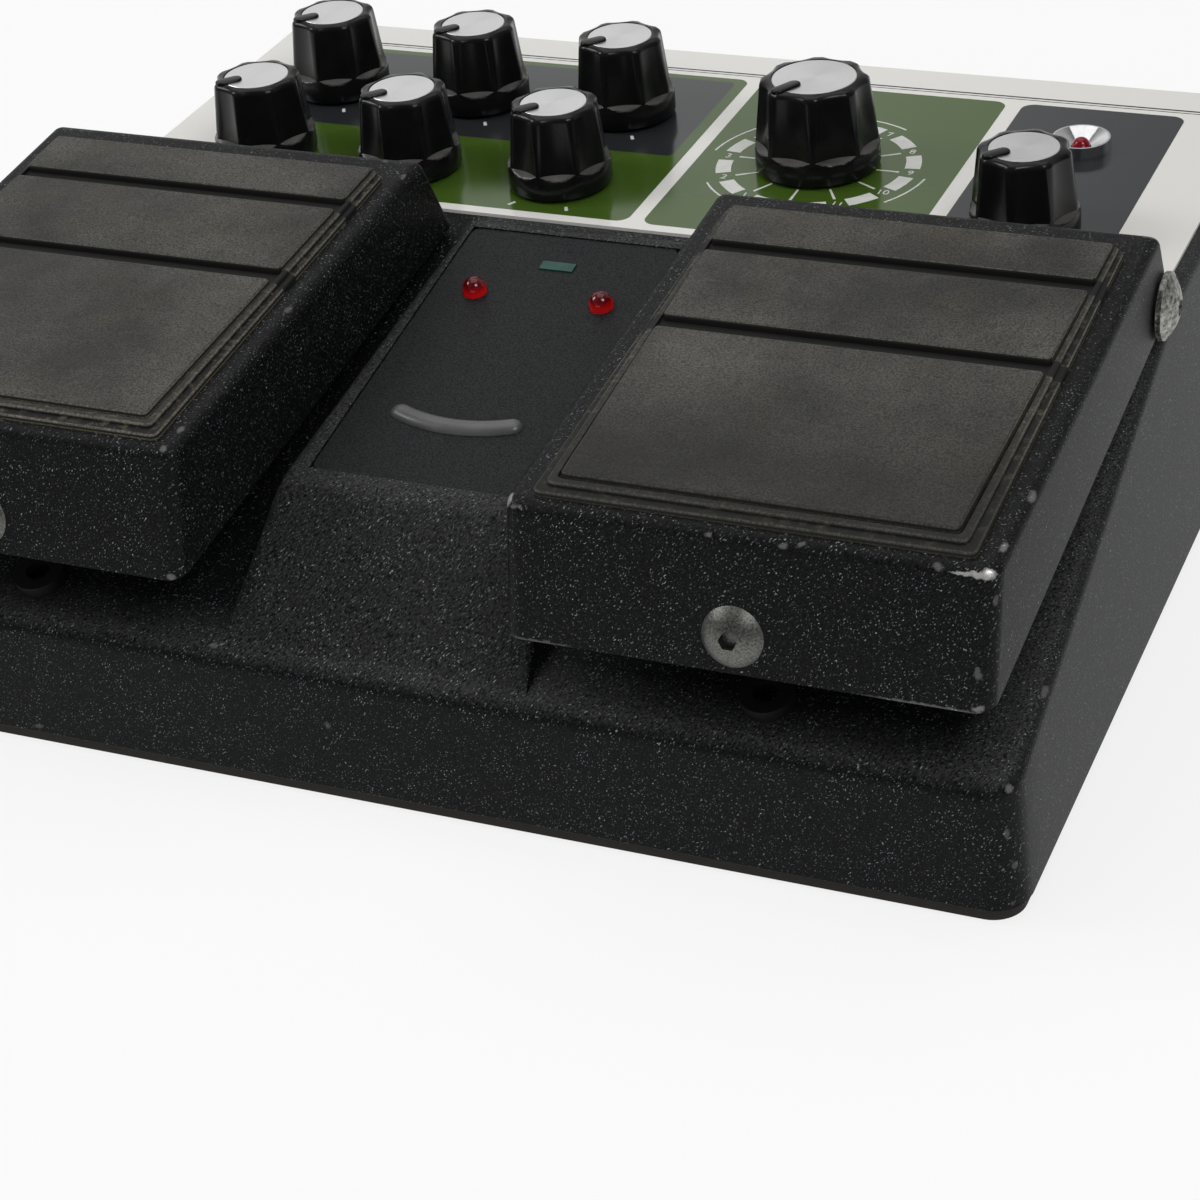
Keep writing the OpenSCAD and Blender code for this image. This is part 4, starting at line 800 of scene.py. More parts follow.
# Bands of painted shade darken the hollows between the border's steps and the islands' walls.
step_tones = [
    (0.0, dust), (0.22, dust), (0.3, painted_shade), (0.5, painted_shade), (0.62, rub_line), (0.77, rub_line), (0.79, painted_shade),
    (1.1, painted_shade), (1.2, rub_line), (1.37, rub_line), (1.39, ridge_tone), (1.42, ridge_tone), (1.46, painted_shade),
    (1.6, painted_shade), (1.8, rub_line), (1.97, ridge_tone)]
ramp = steps.color_ramp
for lift_mm, tone in step_tones[1:-1]:
    ramp.elements.new(lift_mm / island_top).color = tone
for element, (lift_mm, tone) in ((ramp.elements[0], step_tones[0]), (ramp.elements[-1], step_tones[-1])):
    element.position = lift_mm / island_top
    element.color = tone


def between(tree, value, low, high):
    """One where a value lies between two limits, else zero."""
    above, below = calc(tree, "GREATER_THAN", value, low), calc(tree, "LESS_THAN", value, high)
    return calc(tree, "MULTIPLY", above, below)


scuff_low, scuff_high, dark_rear, dark_front = 0.6, 1.45, -44, -62
top_start, top_full, groove_drop = 0.05, 0.01, 0.12
on_top = ranged(tree, height, island_top - top_start, island_top - top_full)
scuffed = ranged(tree, noise(tree, spot, 800.0, 6.0, 0.7), 0.5, 0.66, 0, 0.5)
ridged = between(tree, height, scuff_low, scuff_high)
stepped = mix(tree, calc(tree, "MULTIPLY", scuffed, ridged), steps.outputs[0], scuff_pale)
layered = mix(tree, on_top, stepped, worn)
axes = split(tree, spot)
# The right pad is made darker towards its front edge.
front_darkening = ranged(tree, axes["Y"], dark_rear * mm, dark_front * mm, 0, 0.62)
on_right = calc(tree, "GREATER_THAN", axes["X"], 0.0)
layered = mix(tree, calc(tree, "MULTIPLY", front_darkening, on_right), layered, (0.012, 0.0118, 0.011, 1))
# The groove floors between the islands are coloured with the painted shade.
sunk = calc(tree, "LESS_THAN", height, island_top - groove_drop)
groove_start = pad_front + island_border
for length in island_lengths:
    groove_start += length
    low, high = (tread_front_y + math.cos(tread_slope) * (groove_start + step)
                 for step in (-groove_edge, groove + groove_edge))
    band = between(tree, axes["Y"], low * mm, high * mm)
    layered = mix(tree, calc(tree, "MULTIPLY", band, sunk), layered, painted_shade)
    groove_start += groove
dusty = mix(tree, calc(tree, "MULTIPLY", speckle, 0.68), layered, (0.008, 0.008, 0.0075, 1))
set_shader(tree, shader, Base_Color=dusty, Roughness=ranged(tree, patches, 0, 1, 0.5, 0.7),
           Normal=bump(tree, grit, 0.5, 0.06), Specular_IOR_Level=0.24)
for side, mesh in both_sides(tread_mesh):
    dress(mesh, tread_rubber)
    pad = link_object(side + "_tread_pad", mesh)
    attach(pad, side + "_foot")
    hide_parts(side + "_tread")

# Panel: a plate on the platform, printed with green and grey fields on warm white under a clear gloss
# film. White gaps part the fields, and a double line runs under the bare title strip at the rear.
panel_z = 42.7
ink_blur = 0.04
field_group, given, out = node_tree("printed_field", "ShaderNodeTree", {
    "Place": "Vector", "Half Size": "Vector", "Centre": "Vector", "Corner": "Float"}, {"Mask": "Float"})
away = vector(field_group, "SUBTRACT", given.outputs["Place"], given.outputs["Centre"])
past = vector(field_group, "SUBTRACT", vector(field_group, "ABSOLUTE", away), given.outputs["Half Size"])
past = vector(field_group, "ADD", past, given.outputs["Corner"])
past = vector(field_group, "MAXIMUM", past, (0, 0, 0))
reach = vector(field_group, "LENGTH", vector(field_group, "MULTIPLY", past, (1, 1, 0)))
over = calc(field_group, "SUBTRACT", reach, given.outputs["Corner"])
fill_group(field_group, out, Mask=ranged(field_group, over, ink_blur * mm, -ink_blur * mm))


def field(tree, place, x0, x1, y0, y1, corner):
    """Mask of a printed rectangle with rounded corners, in millimetres on the panel."""
    node = group_node(tree, field_group, {
        "Place": place, "Half Size": (*in_metres((x1 - x0) / 2, (y1 - y0) / 2), 1),
        "Centre": in_metres((x0 + x1) / 2, (y0 + y1) / 2, 0), "Corner": corner * mm})
    return node.outputs["Mask"]


panel_white, panel_green = (0.70, 0.69, 0.655, 1), (0.045, 0.088, 0.011, 1)
panel_grey = (0.019, 0.021, 0.0235, 1)
panel_print, tree, shader, spot = new_material("panel_print")
colour = panel_white
for ink, *sizes in (
    (panel_green, -72.0, 2.5, 11.9, 64.0, 2.0), (panel_grey, -70.4, 0.6, 34.5, 62.6, 1.2),
    (panel_green, 4.8, 44.5, 11.9, 64.0, 2.0), (panel_grey, 47.0, 72.0, 11.9, 64.0, 2.0),
    (panel_grey, -78.0, 78.0, 65.3, 65.55, 0.05), (panel_grey, -78.0, 78.0, 66.0, 66.45, 0.05),
):
    colour = mix(tree, field(tree, spot, *sizes), colour, ink)
smudge, ripple = noise(tree, spot, 90.0, 5.0), noise(tree, spot, 40.0)
set_shader(tree, shader, Base_Color=colour, Roughness=ranged(tree, smudge, 0, 1, 0.08, 0.2),
           Normal=bump(tree, ripple, 0.05, 0.2), Specular_IOR_Level=0.55)


def finish_node(name, material):
    """Gives a CAD node its material."""
    slots = nodes[name].material_slots
    for item in slots:
        item.material = material
    if not slots:
        nodes[name].data.materials.append(material)


finish_node("panel_plate", panel_print)

# Dial marks: white ink on the panel. Twelve ticks, twelve numbers and the blocks between them ring the
# selector inside a thin broken circle, and each small knob has two end marks.
ink_height = 0.03
dial = Vector((23.4, 36.5))
dial_positions, dial_zero, dial_step = 12, -150, 30
tick_ring, block_ring, line_ring, end_ring = (9.0, 12.5), (13.0, 15.3), (16.85, 17.15), (8.7, 10.0)
end_angle = 152
knob_places = {
    "bass": (-62.0, 47.8), "treble": (-37.1, 47.8), "reverb": (-12.2, 47.8), "rate": (-62.0, 22.2),
    "intensity": (-37.1, 22.2), "echo": (-12.2, 22.2), "input": (59.2, 21.6), "selector": (23.4, 36.5)}


def end_tree(tree, out, geometry, material):
    """Ends a tree with its geometry made real, in its material."""
    real = add(tree, "GeometryNodeRealizeInstances", {"Geometry": geometry})
    coloured = add(tree, "GeometryNodeSetMaterial", {"Geometry": real.outputs[0], "Material": material})
    tree.links.new(coloured.outputs[0], out.inputs[0])


ring_tree, given, out = node_tree("ring_of_marks", "GeometryNodeTree", {
    "Mark": "Geometry", "Count": "Int", "First Angle": "Float", "Step": "Float", "Centre": "Vector",
    "Ink": "Material"}, {"Marks": "Geometry"})
spots = add(ring_tree, "GeometryNodePoints", {
    "Count": given.outputs["Count"], "Position": given.outputs["Centre"]})
number = add(ring_tree, "GeometryNodeInputIndex").outputs[0]
angle = calc(ring_tree, "MULTIPLY_ADD", number, given.outputs["Step"], given.outputs["First Angle"])
turn = add(ring_tree, "ShaderNodeCombineXYZ", {"Z": calc(ring_tree, "MULTIPLY", angle, -1.0)})
copies = add(ring_tree, "GeometryNodeInstanceOnPoints", {
    "Points": spots.outputs[0], "Instance": given.outputs["Mark"], "Rotation": turn.outputs[0]})
end_tree(ring_tree, out, copies.outputs[0], given.outputs["Ink"])


def run_tree(name, mesh, tree, values):
    """Runs a Geometry Nodes tree on a mesh with these named inputs, and returns the plain mesh."""
    piece = link_object(name, mesh)
    modifier = piece.modifiers.new(name, "NODES")
    modifier.node_group = tree
    for item in tree.interface.items_tree:
        if item.in_out == "INPUT" and item.name in values:
            modifier[item.identifier] = values[item.name]
    finished(piece)
    result = piece.data
    bpy.data.objects.remove(piece)
    return result


def arc_mark(inner, outer, span, steps):
    """A printed arc round the origin, centred on +Y, span in degrees."""
    corners = ((inner, 0), (outer, 0), (outer, ink_height), (inner, ink_height))
    turns = [math.radians(span * (k / steps - 0.5)) for k in range(steps + 1)]
    mesh = lofted("mark", [[(radius * math.sin(turn), radius * math.cos(turn), z) for radius, z in corners]
                           for turn in turns])
    clean(mesh)
    return mesh


white_ink, tree, shader, spot = new_material("white_ink")
wear = noise(tree, spot, 900.0, 3.0)
set_shader(tree, shader, Roughness=0.25,
           Base_Color=mix(tree, wear, (0.5, 0.51, 0.48, 1), (0.68, 0.68, 0.65, 1)))

marks = link_object("dial_marks", bpy.data.meshes.new("dial_marks"))
for ring, span, steps, amount, first, step, place in [
    (tick_ring, 1.9, 1, dial_positions, dial_zero, dial_step, dial),
    (block_ring, 18.0, 4, dial_positions, dial_zero + dial_step / 2, dial_step, dial),
    (line_ring, 26.0, 6, 1, -137, 0, dial), (line_ring, 44.0, 10, 1, -63, 0, dial),
    (line_ring, 44.0, 10, 1, 10, 0, dial), (line_ring, 32.0, 8, 1, 111, 0, dial),
] + [(end_ring, 3.0, 1, 2, -end_angle, 2 * end_angle, place)
     for name, place in knob_places.items() if name != "selector"]:
    join(marks, run_tree("marks", arc_mark(*ring, span, steps), ring_tree, {
        "Count": amount, "First Angle": math.radians(first), "Step": math.radians(step),
        "Centre": in_metres(*place, panel_z), "Ink": white_ink}))

number_ring, number_height = 14.25, 2.0
for index in range(dial_positions):
    words = bpy.data.curves.new("number", "FONT")
    words.body = str(index + 1)
    words.size = number_height * mm
    words.align_x = words.align_y = "CENTER"
    words.extrude = ink_height / 2 * mm
    number = link_object("number", words)
    mesh = bpy.data.meshes.new_from_object(number.evaluated_get(bpy.context.evaluated_depsgraph_get()))
    bpy.data.objects.remove(number)
    turn = math.radians(dial_zero + dial_step * index)
    at = dial + Vector((math.sin(turn), math.cos(turn))) * number_ring
    mesh.transform(Matrix.Translation(in_metres(*at, panel_z + ink_height / 2)))
    join(marks, mesh)
dress(marks.data, white_ink)
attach(marks, "case")

# Console plate: a thin aluminium label in the console's recess, printed dark grey and left bare.
# Its satin print has a fine even grain and a few rubbed patches.
plate_print, tree, shader, spot = new_material("console_plate_print")
rub = noise(tree, spot, 60.0, 6.0)
speck = noise(tree, spot, 4200.0, 1.0)
tone = mix(tree, ranged(tree, speck, 0.38, 0.62), (0.004, 0.0045, 0.005, 1), (0.02, 0.021, 0.022, 1))
set_shader(tree, shader, Base_Color=tone, Roughness=ranged(tree, rub, 0, 1, 0.36, 0.52),
           Normal=bump(tree, speck, 0.2, 0.03), Specular_IOR_Level=0.13)
finish_node("console_plate", plate_print)

# Crescent bar: a half-round moulding of smoky clear plastic on the console plate, polished by use.
# Its middle bows towards the front, and its ends are rounded off.
crescent_gloss, tree, shader, spot = new_material("crescent_gloss")
haze = noise(tree, spot, 300.0, 4.0)
set_shader(tree, shader, Base_Color=mix(tree, haze, (0.05, 0.05, 0.053, 1), (0.10, 0.10, 0.103, 1)),
           Roughness=ranged(tree, haze, 0, 1, 0.28, 0.42), Coat_Weight=0.25, Coat_Roughness=0.2)

console_tilt = math.atan(console_slope)
console_frame = Matrix.Translation((0, console_rear, console_rear_z))
console_frame = console_frame @ Matrix.Rotation(console_tilt, 4, "X")
crescent_span, crescent_bow, crescent_w, crescent_h = 16.4, 1.6, 2.9, 0.95
crescent_back, crescent_x, crescent_sunk, least_girth = 43.9, -0.5, 0.03, 0.02
crescent_foot = label_t - label_recess - crescent_sunk
crescent_rings, crescent_sides = 56, 16
arc_r = (crescent_span ** 2 / 4 + crescent_bow ** 2) / (2 * crescent_bow)
arc_half = math.asin(crescent_span / 2 / arc_r)
end_turn = crescent_w / 2 / arc_r
rings = []
for step in range(crescent_rings + 1):
    turn = (2 * step / crescent_rings - 1) * (arc_half + end_turn)
    past = max(abs(turn) - arc_half, 0) / end_turn
    girth = math.sqrt(max(1 - past * past, least_girth ** 2))
    rings.append([])
    for lean in (math.pi * side / crescent_sides for side in range(crescent_sides + 1)):
        reach = arc_r + girth * crescent_w / 2 * math.cos(lean)
        point = Vector((crescent_x + reach * math.sin(turn), arc_r - crescent_back - crescent_bow
                        - reach * math.cos(turn), crescent_foot + girth * crescent_h * math.sin(lean)))
        rings[-1].append(tuple(console_frame @ point))
mesh = lofted("crescent", rings)
clean(mesh, 50)
dress(mesh, crescent_gloss)
crescent = link_object("crescent_moulding", mesh)
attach(crescent, "case")
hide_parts("crescent_bar")


# Lamps: red dome lamps and a flat green one, moulded in tinted plastic and held from below. The peak
# lamp is a red lens in a dish of polished metal.
def tinted(name, deep, pale, roughness):
    """Tinted lamp plastic with a faint cloud in it."""
    material, tree, shader, spot = new_material(name)
    cloud = noise(tree, spot, 500.0, 3.0)
    set_shader(tree, shader, Base_Color=mix(tree, cloud, (*deep, 1), (*pale, 1)), Roughness=roughness,
               Specular_IOR_Level=0.35)
    return material


finish_node("power_lamp", tinted("green_lens", (0.002, 0.026, 0.017), (0.024, 0.095, 0.073), 0.35))
finish_node("peak_lamp", tinted("peak_lens", (0.12, 0.001, 0.006), (0.24, 0.004, 0.012), 0.12))

lamp_r, lamp_stand, lamp_root, lamp_gap, lamp_back = 1.7, 0.3, -2.2, 19.2, 16.7
dome_line = [(lamp_r, lamp_root)]
for degrees in range(0, 90, 6):
    turn = math.radians(degrees)
    dome_line.append((lamp_r * math.cos(turn), lamp_stand + lamp_r * math.sin(turn)))
dome_line.append((0.02, lamp_stand + lamp_r))

# Painted light: the foot of each clear red dome is painted lighter and given a faint glow where light would
# gather, and its crown is painted dark.
red_lens, tree, shader, spot = new_material("red_lens")
console_up = (0, -math.sin(console_tilt), math.cos(console_tilt))
lift = vector(tree, "DOT_PRODUCT", spot, console_up)
console_lift = (console_rear * console_up[1] + console_rear_z * console_up[2]) * mm
glow_top, glow_foot = 1.35, 0.3
foot = ranged(tree, calc(tree, "SUBTRACT", lift, console_lift), glow_top * mm, glow_foot * mm)
cloud = noise(tree, spot, 900.0)
glow = calc(tree, "MULTIPLY", foot, ranged(tree, cloud, 0, 1, 0.7, 1.2))
set_shader(tree, shader, Base_Color=mix(tree, glow, (0.075, 0.0008, 0.003, 1), (0.42, 0.006, 0.008, 1)),
           Emission_Color=mix(tree, glow, (0.006, 0, 0, 1), (0.1, 0.001, 0.001, 1)),
           Roughness=0.06, Emission_Strength=1.0)
for name, sign in (("effect", -1), ("tap", 1)):
    mesh = turned(name + "_dome", dome_line, lambda a, b, h, sign=sign: tuple(
        console_frame @ Vector((sign * lamp_gap / 2 + a, b - lamp_back, h))))
    clean(mesh, 40)
    dress(mesh, red_lens)
    dome = link_object(name + "_lamp_dome", mesh)
    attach(dome, "case")
    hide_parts(name + "_lamp")


def metal(name, colour, pale, roughness, grain, depth):
    """Bare or plated metal with a fine grain."""
    material, tree, shader, spot = new_material(name)
    fine = noise(tree, spot, grain, 5.0)
    set_shader(tree, shader, Metallic=1.0, Normal=bump(tree, fine, 0.4, depth),
               Base_Color=mix(tree, ranged(tree, fine, 0.3, 0.7), (*colour, 1), (*pale, 1)),
               Roughness=ranged(tree, fine, 0, 1, roughness * 0.7, roughness * 1.3))
    return material


finish_node("peak_bezel", metal("bezel_chrome", (0.72, 0.72, 0.73), (0.85, 0.85, 0.86), 0.08, 800.0, 0.01))

# Knobs: black moulded plastic with a round skirt and a tapered grip of eight shallow flutes. Each is
# pushed on its shaft, with a pointer bar that runs in over the spun disc on its top.
knob_z, skirt_h, skirt_step, grip_drop = 43.2, 3.2, 0.12, 0.9
knob_flutes, flute_depth, flute_r, flute_end, flute_run, foot_depth = 8, 0.5, 8.0, 0.6, 1.5, 1.9
nut_room_r, nut_room_h, shaft_r, shaft_cover, disc_t = 6.17, 2.05, 3.02, 2.6, 0.6
pointer_w, pointer_share, pointer_rise, pointer_root, pointer_edge = 2.0, 0.54, 0.3, 1.5, 0.25
disc_sunk, disc_lift, disc_play, disc_edge, disc_break = 0.06, 0.02, 0.03, 0.13, 0.08
# Height, diameters of the skirt, the top and the disc, and the pointer's angle at zero.
knob_sizes = {name: (12.8, 15.6, 13.4, 10.0, -135) for name in knob_places}
knob_sizes["selector"] = (13.8, 18.6, 16.2, 12.6, -150)
knob_segments, guide_r, grip_clear, pointer_flat = 128, 2.0, 0.2, 0.05

knob_tree, given, out = node_tree("fluted_knob", "GeometryNodeTree", {
    "Profile": "Geometry", "Segments": "Int", "Flutes": "Float", "Cutter Radius": "Float",
    "Flute Depth": "Float", "Grip Foot": "Float", "Flute End": "Float", "Grip Top": "Float",
    "Grip Inside": "Float", "Plastic": "Material"}, {"Knob": "Geometry"})
wanted = given.outputs
line = add(knob_tree, "GeometryNodeMeshToCurve", {"Mesh": wanted["Profile"]})
circle = add(knob_tree, "GeometryNodeCurvePrimitiveCircle", {
    "Resolution": wanted["Segments"], "Radius": guide_r * mm})
swept = add(knob_tree, "GeometryNodeCurveToMesh", {
    "Curve": circle.outputs[0], "Profile Curve": line.outputs[0]})
spot = add(knob_tree, "GeometryNodeInputPosition").outputs[0]
axes = split(knob_tree, spot)
level = vector(knob_tree, "MULTIPLY", spot, (1, 1, 0))
radius = vector(knob_tree, "LENGTH", level)


def knob_calc(operation, *values):
    """The output of a Math node in the knob's tree."""
    return calc(knob_tree, operation, *values)


turns = knob_calc("DIVIDE", knob_calc("ARCTAN2", axes["Y"], axes["X"]), 2 * math.pi)
part = knob_calc("FLOORED_MODULO", knob_calc("MULTIPLY", turns, wanted["Flutes"]), 1.0)
swing = knob_calc("MULTIPLY", knob_calc("SUBTRACT", part, 0.5), 2 * math.pi)
off = knob_calc("DIVIDE", swing, wanted["Flutes"])
run = ranged(knob_tree, axes["Z"], wanted["Grip Foot"], wanted["Flute End"])
swell = ranged(knob_tree, axes["Z"], wanted["Grip Foot"], wanted["Grip Top"], foot_depth, 1.0)
depth = knob_calc("MULTIPLY", wanted["Flute Depth"], knob_calc("MULTIPLY", run, swell))
centre = knob_calc("ADD", knob_calc("SUBTRACT", radius, depth), wanted["Cutter Radius"])
near = knob_calc("MULTIPLY", centre, knob_calc("COSINE", off))
wide = knob_calc("MULTIPLY", centre, knob_calc("SINE", off))
deep = knob_calc("SUBTRACT", knob_calc("POWER", wanted["Cutter Radius"], 2.0),
                 knob_calc("MULTIPLY", wide, wide))
cut_r = knob_calc("SUBTRACT", near, knob_calc("SQRT", deep))
shrink = knob_calc("DIVIDE", knob_calc("MINIMUM", radius, cut_r), radius)
drawn = vector(knob_tree, "SCALE", level, Scale=knob_calc("SUBTRACT", shrink, 1.0))
on_grip = knob_calc("MULTIPLY", knob_calc("GREATER_THAN", axes["Z"], wanted["Grip Foot"]),
                    knob_calc("GREATER_THAN", radius, wanted["Grip Inside"]))
fluted = add(knob_tree, "GeometryNodeSetPosition", {
    "Geometry": swept.outputs[0], "Selection": on_grip, "Offset": drawn})
merged = add(knob_tree, "GeometryNodeMergeByDistance", {
    "Geometry": fluted.outputs[0], "Distance": 0.002 * mm})
end_tree(knob_tree, out, merged.outputs[0], wanted["Plastic"])

knob_plastic, tree, shader, spot = new_material("knob_plastic")
film = noise(tree, spot, 260.0, 5.0)
ledge = calc(tree, "LESS_THAN", split(tree, spot)["Z"], (knob_z + skirt_h + 2 * flute_end) * mm)
dusty = calc(tree, "MULTIPLY", looking_up(tree, 0.3, 0.75), calc(tree, "MULTIPLY", ledge, film))
moulded = mix(tree, film, (0.003, 0.003, 0.0034, 1), (0.007, 0.007, 0.0074, 1))
set_shader(tree, shader, Base_Color=mix(tree, dusty, moulded, (0.11, 0.105, 0.1, 1)),
           Roughness=ranged(tree, film, 0, 1, 0.16, 0.34), Specular_IOR_Level=0.27)


def knob_profile(h, skirt_d, top_d, disc_d):
    """Closed half section of a knob as (radius, height), from the disc's seat round to the shaft's end."""
    skirt_r, top_r, grip_r, disc_r = skirt_d / 2, top_d / 2, skirt_d / 2 - skirt_step, disc_d / 2
    rim = h - pointer_rise
    grip_steps = [flute_end + flute_run] + [share * flute_end for share in (1, 0.75, 0.5, 0.25, 0)]
    return [
        (0.001, rim - disc_t), (disc_r, rim - disc_t), (disc_r, rim - 0.15), (disc_r + 0.12, rim),
        (top_r - 0.9, rim - 0.04), (top_r - 0.4, rim - 0.22), (top_r - 0.12, rim - 0.5),
        (top_r, rim - grip_drop),
        *((grip_r + (top_r - grip_r) * step / (rim - grip_drop - skirt_h), skirt_h + step)
          for step in grip_steps),
        (skirt_r, skirt_h - 0.25), (skirt_r, 0.3), (skirt_r - 0.1, 0.08), (skirt_r - 0.3, 0),
        (nut_room_r, 0), (nut_room_r, nut_room_h), (shaft_r, nut_room_h),
        (shaft_r, h - shaft_cover), (0.001, h - shaft_cover)]


def metal_disc(name, centre):
    """Spun aluminium, turned in fine rings round one knob's axis."""
    material, tree, shader, spot = new_material(name)
    centred = add(tree, "ShaderNodeMapping", {
        "Vector": spot, "Location": (-centre[0] * mm, -centre[1] * mm, 0)})
    out_from = vector(tree, "LENGTH", vector(tree, "MULTIPLY", centred.outputs[0], (1, 1, 0)))
    rings = add(tree, "ShaderNodeTexNoise", {"W": out_from, "Scale": 9000.0, "Detail": 3.0},
                noise_dimensions="1D").outputs["Fac"]
    spun = add(tree, "ShaderNodeTangent", direction_type="RADIAL", axis="Z")
    set_shader(tree, shader, Base_Color=mix(tree, rings, (0.6, 0.6, 0.6, 1), (0.98, 0.98, 0.98, 1)),
               Normal=bump(tree, rings, 0.25, 0.02), Metallic=1.0, Roughness=0.3, Anisotropic=0.6,
               Tangent=spun.outputs[0])
    return material


for name, (x, y) in knob_places.items():
    h, skirt_d, top_d, disc_d, zero = knob_sizes[name]
    section = knob_profile(h, skirt_d, top_d, disc_d)
    profile = bpy.data.meshes.new("profile")
    profile.from_pydata([((r - guide_r) * mm, -height * mm, 0) for r, height in section],
                        [(k, k + 1) for k in range(len(section) - 1)], [])
    mesh = run_tree("knob", profile, knob_tree, {
        "Segments": knob_segments, "Flutes": float(knob_flutes), "Cutter Radius": flute_r * mm,
        "Flute Depth": flute_depth * mm * top_d / knob_sizes["bass"][2], "Grip Foot": skirt_h * mm,
        "Flute End": (skirt_h + flute_end) * mm, "Grip Top": h * mm,
        "Grip Inside": (disc_d / 2 + grip_clear) * mm, "Plastic": knob_plastic})
    clean(mesh, 30)
    knob = link_object(name + "_knob_grip", mesh)
    bar = slab(-pointer_w / 2, pointer_w / 2, disc_d / 2 * (1 - pointer_share), top_d / 2 - pointer_edge,
               h - pointer_root, h, pointer_w / 2 - pointer_flat, pointer_edge)
    join(knob, bar)
    pointed = Matrix.Rotation(-math.radians(zero), 4, "Z")
    mesh.transform(Matrix.Translation(in_metres(x, y, knob_z)) @ pointed)
    dress(mesh, knob_plastic)
    smooth(mesh, 30)
    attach(knob, name + "_control")
    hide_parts(name + "_knob")
    low, top = h - pointer_rise - disc_t + disc_lift, h - pointer_rise - disc_sunk
    disc_r = disc_d / 2 - disc_play
    mesh = turned("disc", [(disc_r, low), (disc_r, top - disc_break), (disc_d / 2 - disc_edge, top)],
                  lambda a, b, height: (x + a, y + b, knob_z + height), 96)
    clean(mesh, 20)
    dress(mesh, metal_disc(name + "_spun_metal", (x, y)))
    disc = link_object(name + "_spun_disc", mesh)
    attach(disc, name + "_control")
    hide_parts(name + "_disc")

# Return springs: round steel wire wound in six turns, between the seat on the deck and the cap under
# each pedal's roof.
spring_r, spring_wire, spring_turns, spring_clear, spring_travel = 5.2, 1.2, 6, 0.05, 2.03
spring_steps, wire_sides = 40, 12
spring_tree, given, out = node_tree("wound_spring", "GeometryNodeTree", {
    "Base": "Geometry", "Turns": "Float", "Radius": "Float", "Wire Radius": "Float", "Height": "Float",
    "Place": "Vector", "Steel": "Material"}, {"Spring": "Geometry"})
helix = add(spring_tree, "GeometryNodeCurveSpiral", {
    "Resolution": spring_steps, "Rotations": given.outputs["Turns"], "Start Radius": given.outputs["Radius"],
    "End Radius": given.outputs["Radius"], "Height": given.outputs["Height"]})
wire = add(spring_tree, "GeometryNodeCurvePrimitiveCircle", {
    "Resolution": wire_sides, "Radius": given.outputs["Wire Radius"]})
wound = add(spring_tree, "GeometryNodeCurveToMesh", {
    "Curve": helix.outputs[0], "Profile Curve": wire.outputs[0], "Fill Caps": True})
placed = add(spring_tree, "GeometryNodeTransform", {
    "Geometry": wound.outputs[0], "Translation": given.outputs["Place"]})
end_tree(spring_tree, out, placed.outputs[0], given.outputs["Steel"])
spring_steel = metal("spring_steel", (0.45, 0.46, 0.47), (0.62, 0.63, 0.64), 0.3, 1200.0, 0.02)
for side, sign in (("right", 1), ("left", -1)):
    low, high = seat_top + spring_wire / 2 + spring_clear, spring_top - spring_wire / 2 - spring_clear
    mesh = run_tree("spring", bpy.data.meshes.new("base"), spring_tree, {
        "Turns": float(spring_turns), "Radius": spring_r * mm, "Wire Radius": spring_wire / 2 * mm,
        "Height": (high - low) * mm, "Place": in_metres(sign * spring_x, spring_y, low),
        "Steel": spring_steel})
    clean(mesh)
    coil = link_object(side + "_return_spring", mesh)
    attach(coil, "case")
    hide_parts(side + "_spring")
    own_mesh(coil)

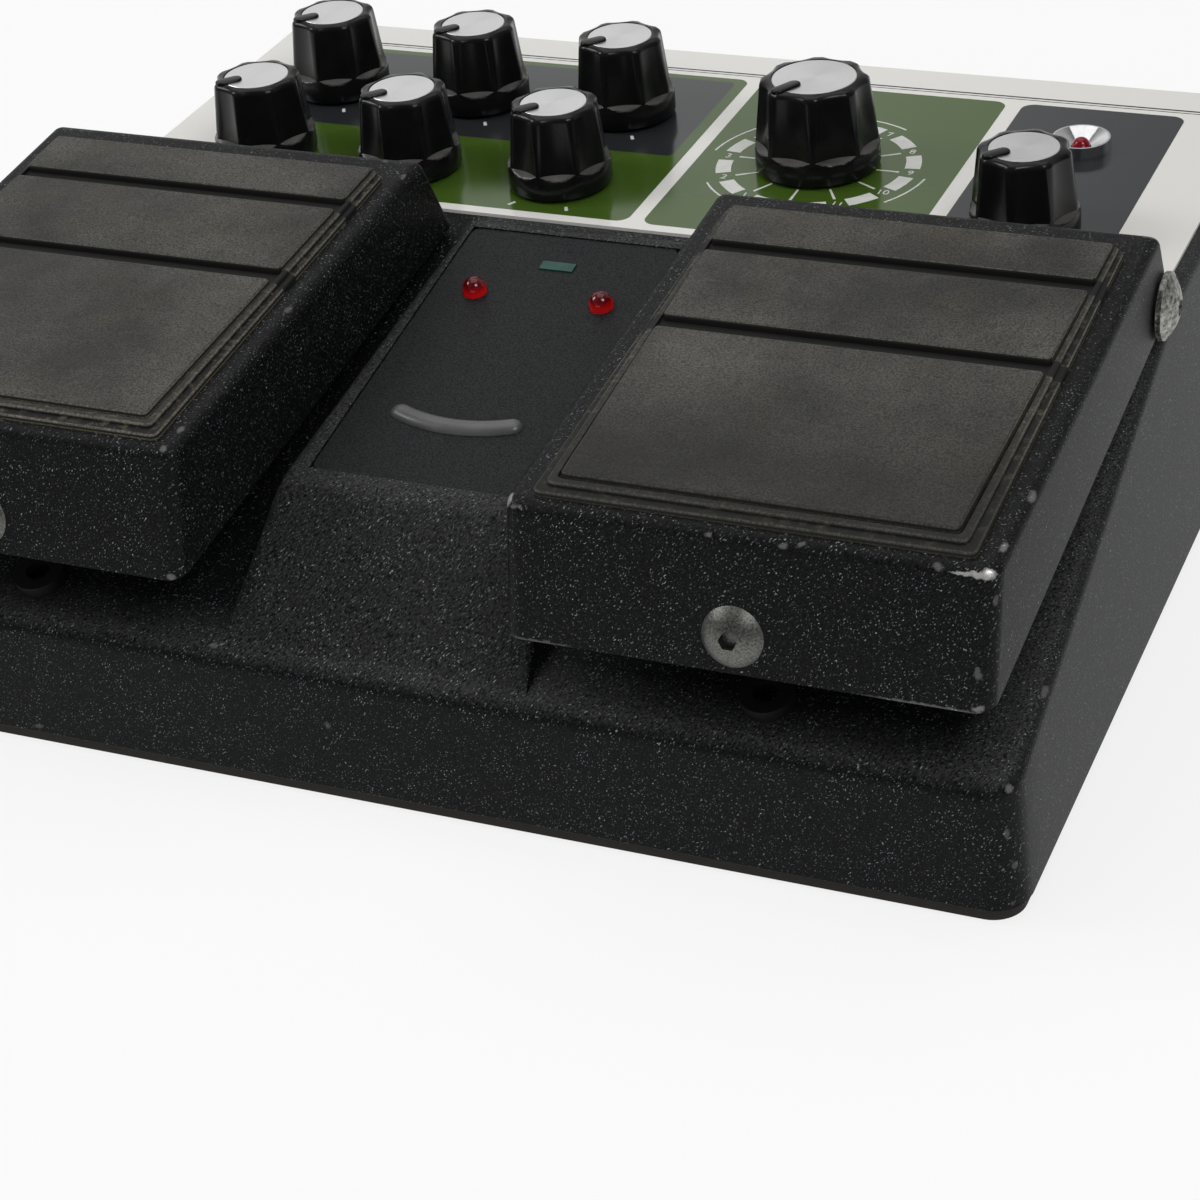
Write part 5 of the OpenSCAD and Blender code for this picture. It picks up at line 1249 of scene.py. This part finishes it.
# Screws, nuts and pins: zinc-plated stop and hinge screws with hex sockets, dulled and pitted, and the
# brighter nuts, shafts and pins.
screw_zinc = metal("screw_zinc", (0.06, 0.062, 0.057), (0.22, 0.22, 0.203), 0.45, 4200.0, 0.08)
for name in ("left_stop_screw", "right_stop_screw", "base_screws"):
    finish_node(name, screw_zinc)
finish_node("hinge_screws", metal("hinge_zinc", (0.03, 0.032, 0.028), (0.5, 0.5, 0.46), 0.45, 1700.0, 0.2))
bright_steel = metal("bright_steel", (0.55, 0.56, 0.57), (0.70, 0.71, 0.72), 0.25, 900.0, 0.02)
for name in ["hinge_pins", "panel_nuts", "socket_nuts"] + [control + "_shaft" for control in knob_places]:
    finish_node(name, bright_steel)


# Rubber, nylon, plastic and sheet steel: ring-shaped bump stops glued to the deck, nylon hinge bushes and
# switch plungers, the steel base plate with a thin rubber sheet under it, and the sockets, boards, leads
# and cans inside.
def plain_stock(name, dark, pale, roughness, scale, depth):
    """Plain moulded or sheet stock with a mottle and a light grain."""
    material, tree, shader, spot = new_material(name)
    mottle = noise(tree, spot, scale, 6.0)
    set_shader(tree, shader, Base_Color=mix(tree, mottle, (*dark, 1), (*pale, 1)), Roughness=roughness,
               Normal=bump(tree, mottle, 0.3, depth), Specular_IOR_Level=0.35)
    return material


for material, names in (
    (plain_stock("stop_rubber", (0.003, 0.003, 0.003), (0.008, 0.008, 0.0075), 0.55, 700.0, 0.05),
     ["bump_stops"]),
    (plain_stock("sheet_rubber", (0.012, 0.010, 0.008), (0.03, 0.024, 0.018), 0.75, 400.0, 0.08),
     ["base_sheet"]),
    (plain_stock("bush_nylon", (0.58, 0.55, 0.46), (0.68, 0.65, 0.56), 0.4, 500.0, 0.02),
     ["hinge_bushes", "left_plunger", "right_plunger"]),
    (plain_stock("socket_plastic", (0.008, 0.008, 0.008), (0.016, 0.016, 0.016), 0.4, 500.0, 0.02),
     ["audio_sockets", "power_inlet", "foot_switches"]),
    (plain_stock("board_laminate", (0.012, 0.06, 0.025), (0.02, 0.085, 0.035), 0.35, 300.0, 0.02),
     ["control_board", "main_board"]),
    (plain_stock("lead_jacket", (0.36, 0.34, 0.29), (0.46, 0.43, 0.37), 0.55, 600.0, 0.03),
     ["inner_leads"]),
):
    for name in names:
        finish_node(name, material)
finish_node("base_plate", metal("base_steel", (0.28, 0.28, 0.29), (0.40, 0.40, 0.41), 0.4, 500.0, 0.02))
can_metal = metal("can_metal", (0.40, 0.41, 0.41), (0.55, 0.56, 0.56), 0.35, 600.0, 0.02)
for name in ("potentiometers", "selector_switch"):
    finish_node(name, can_metal)
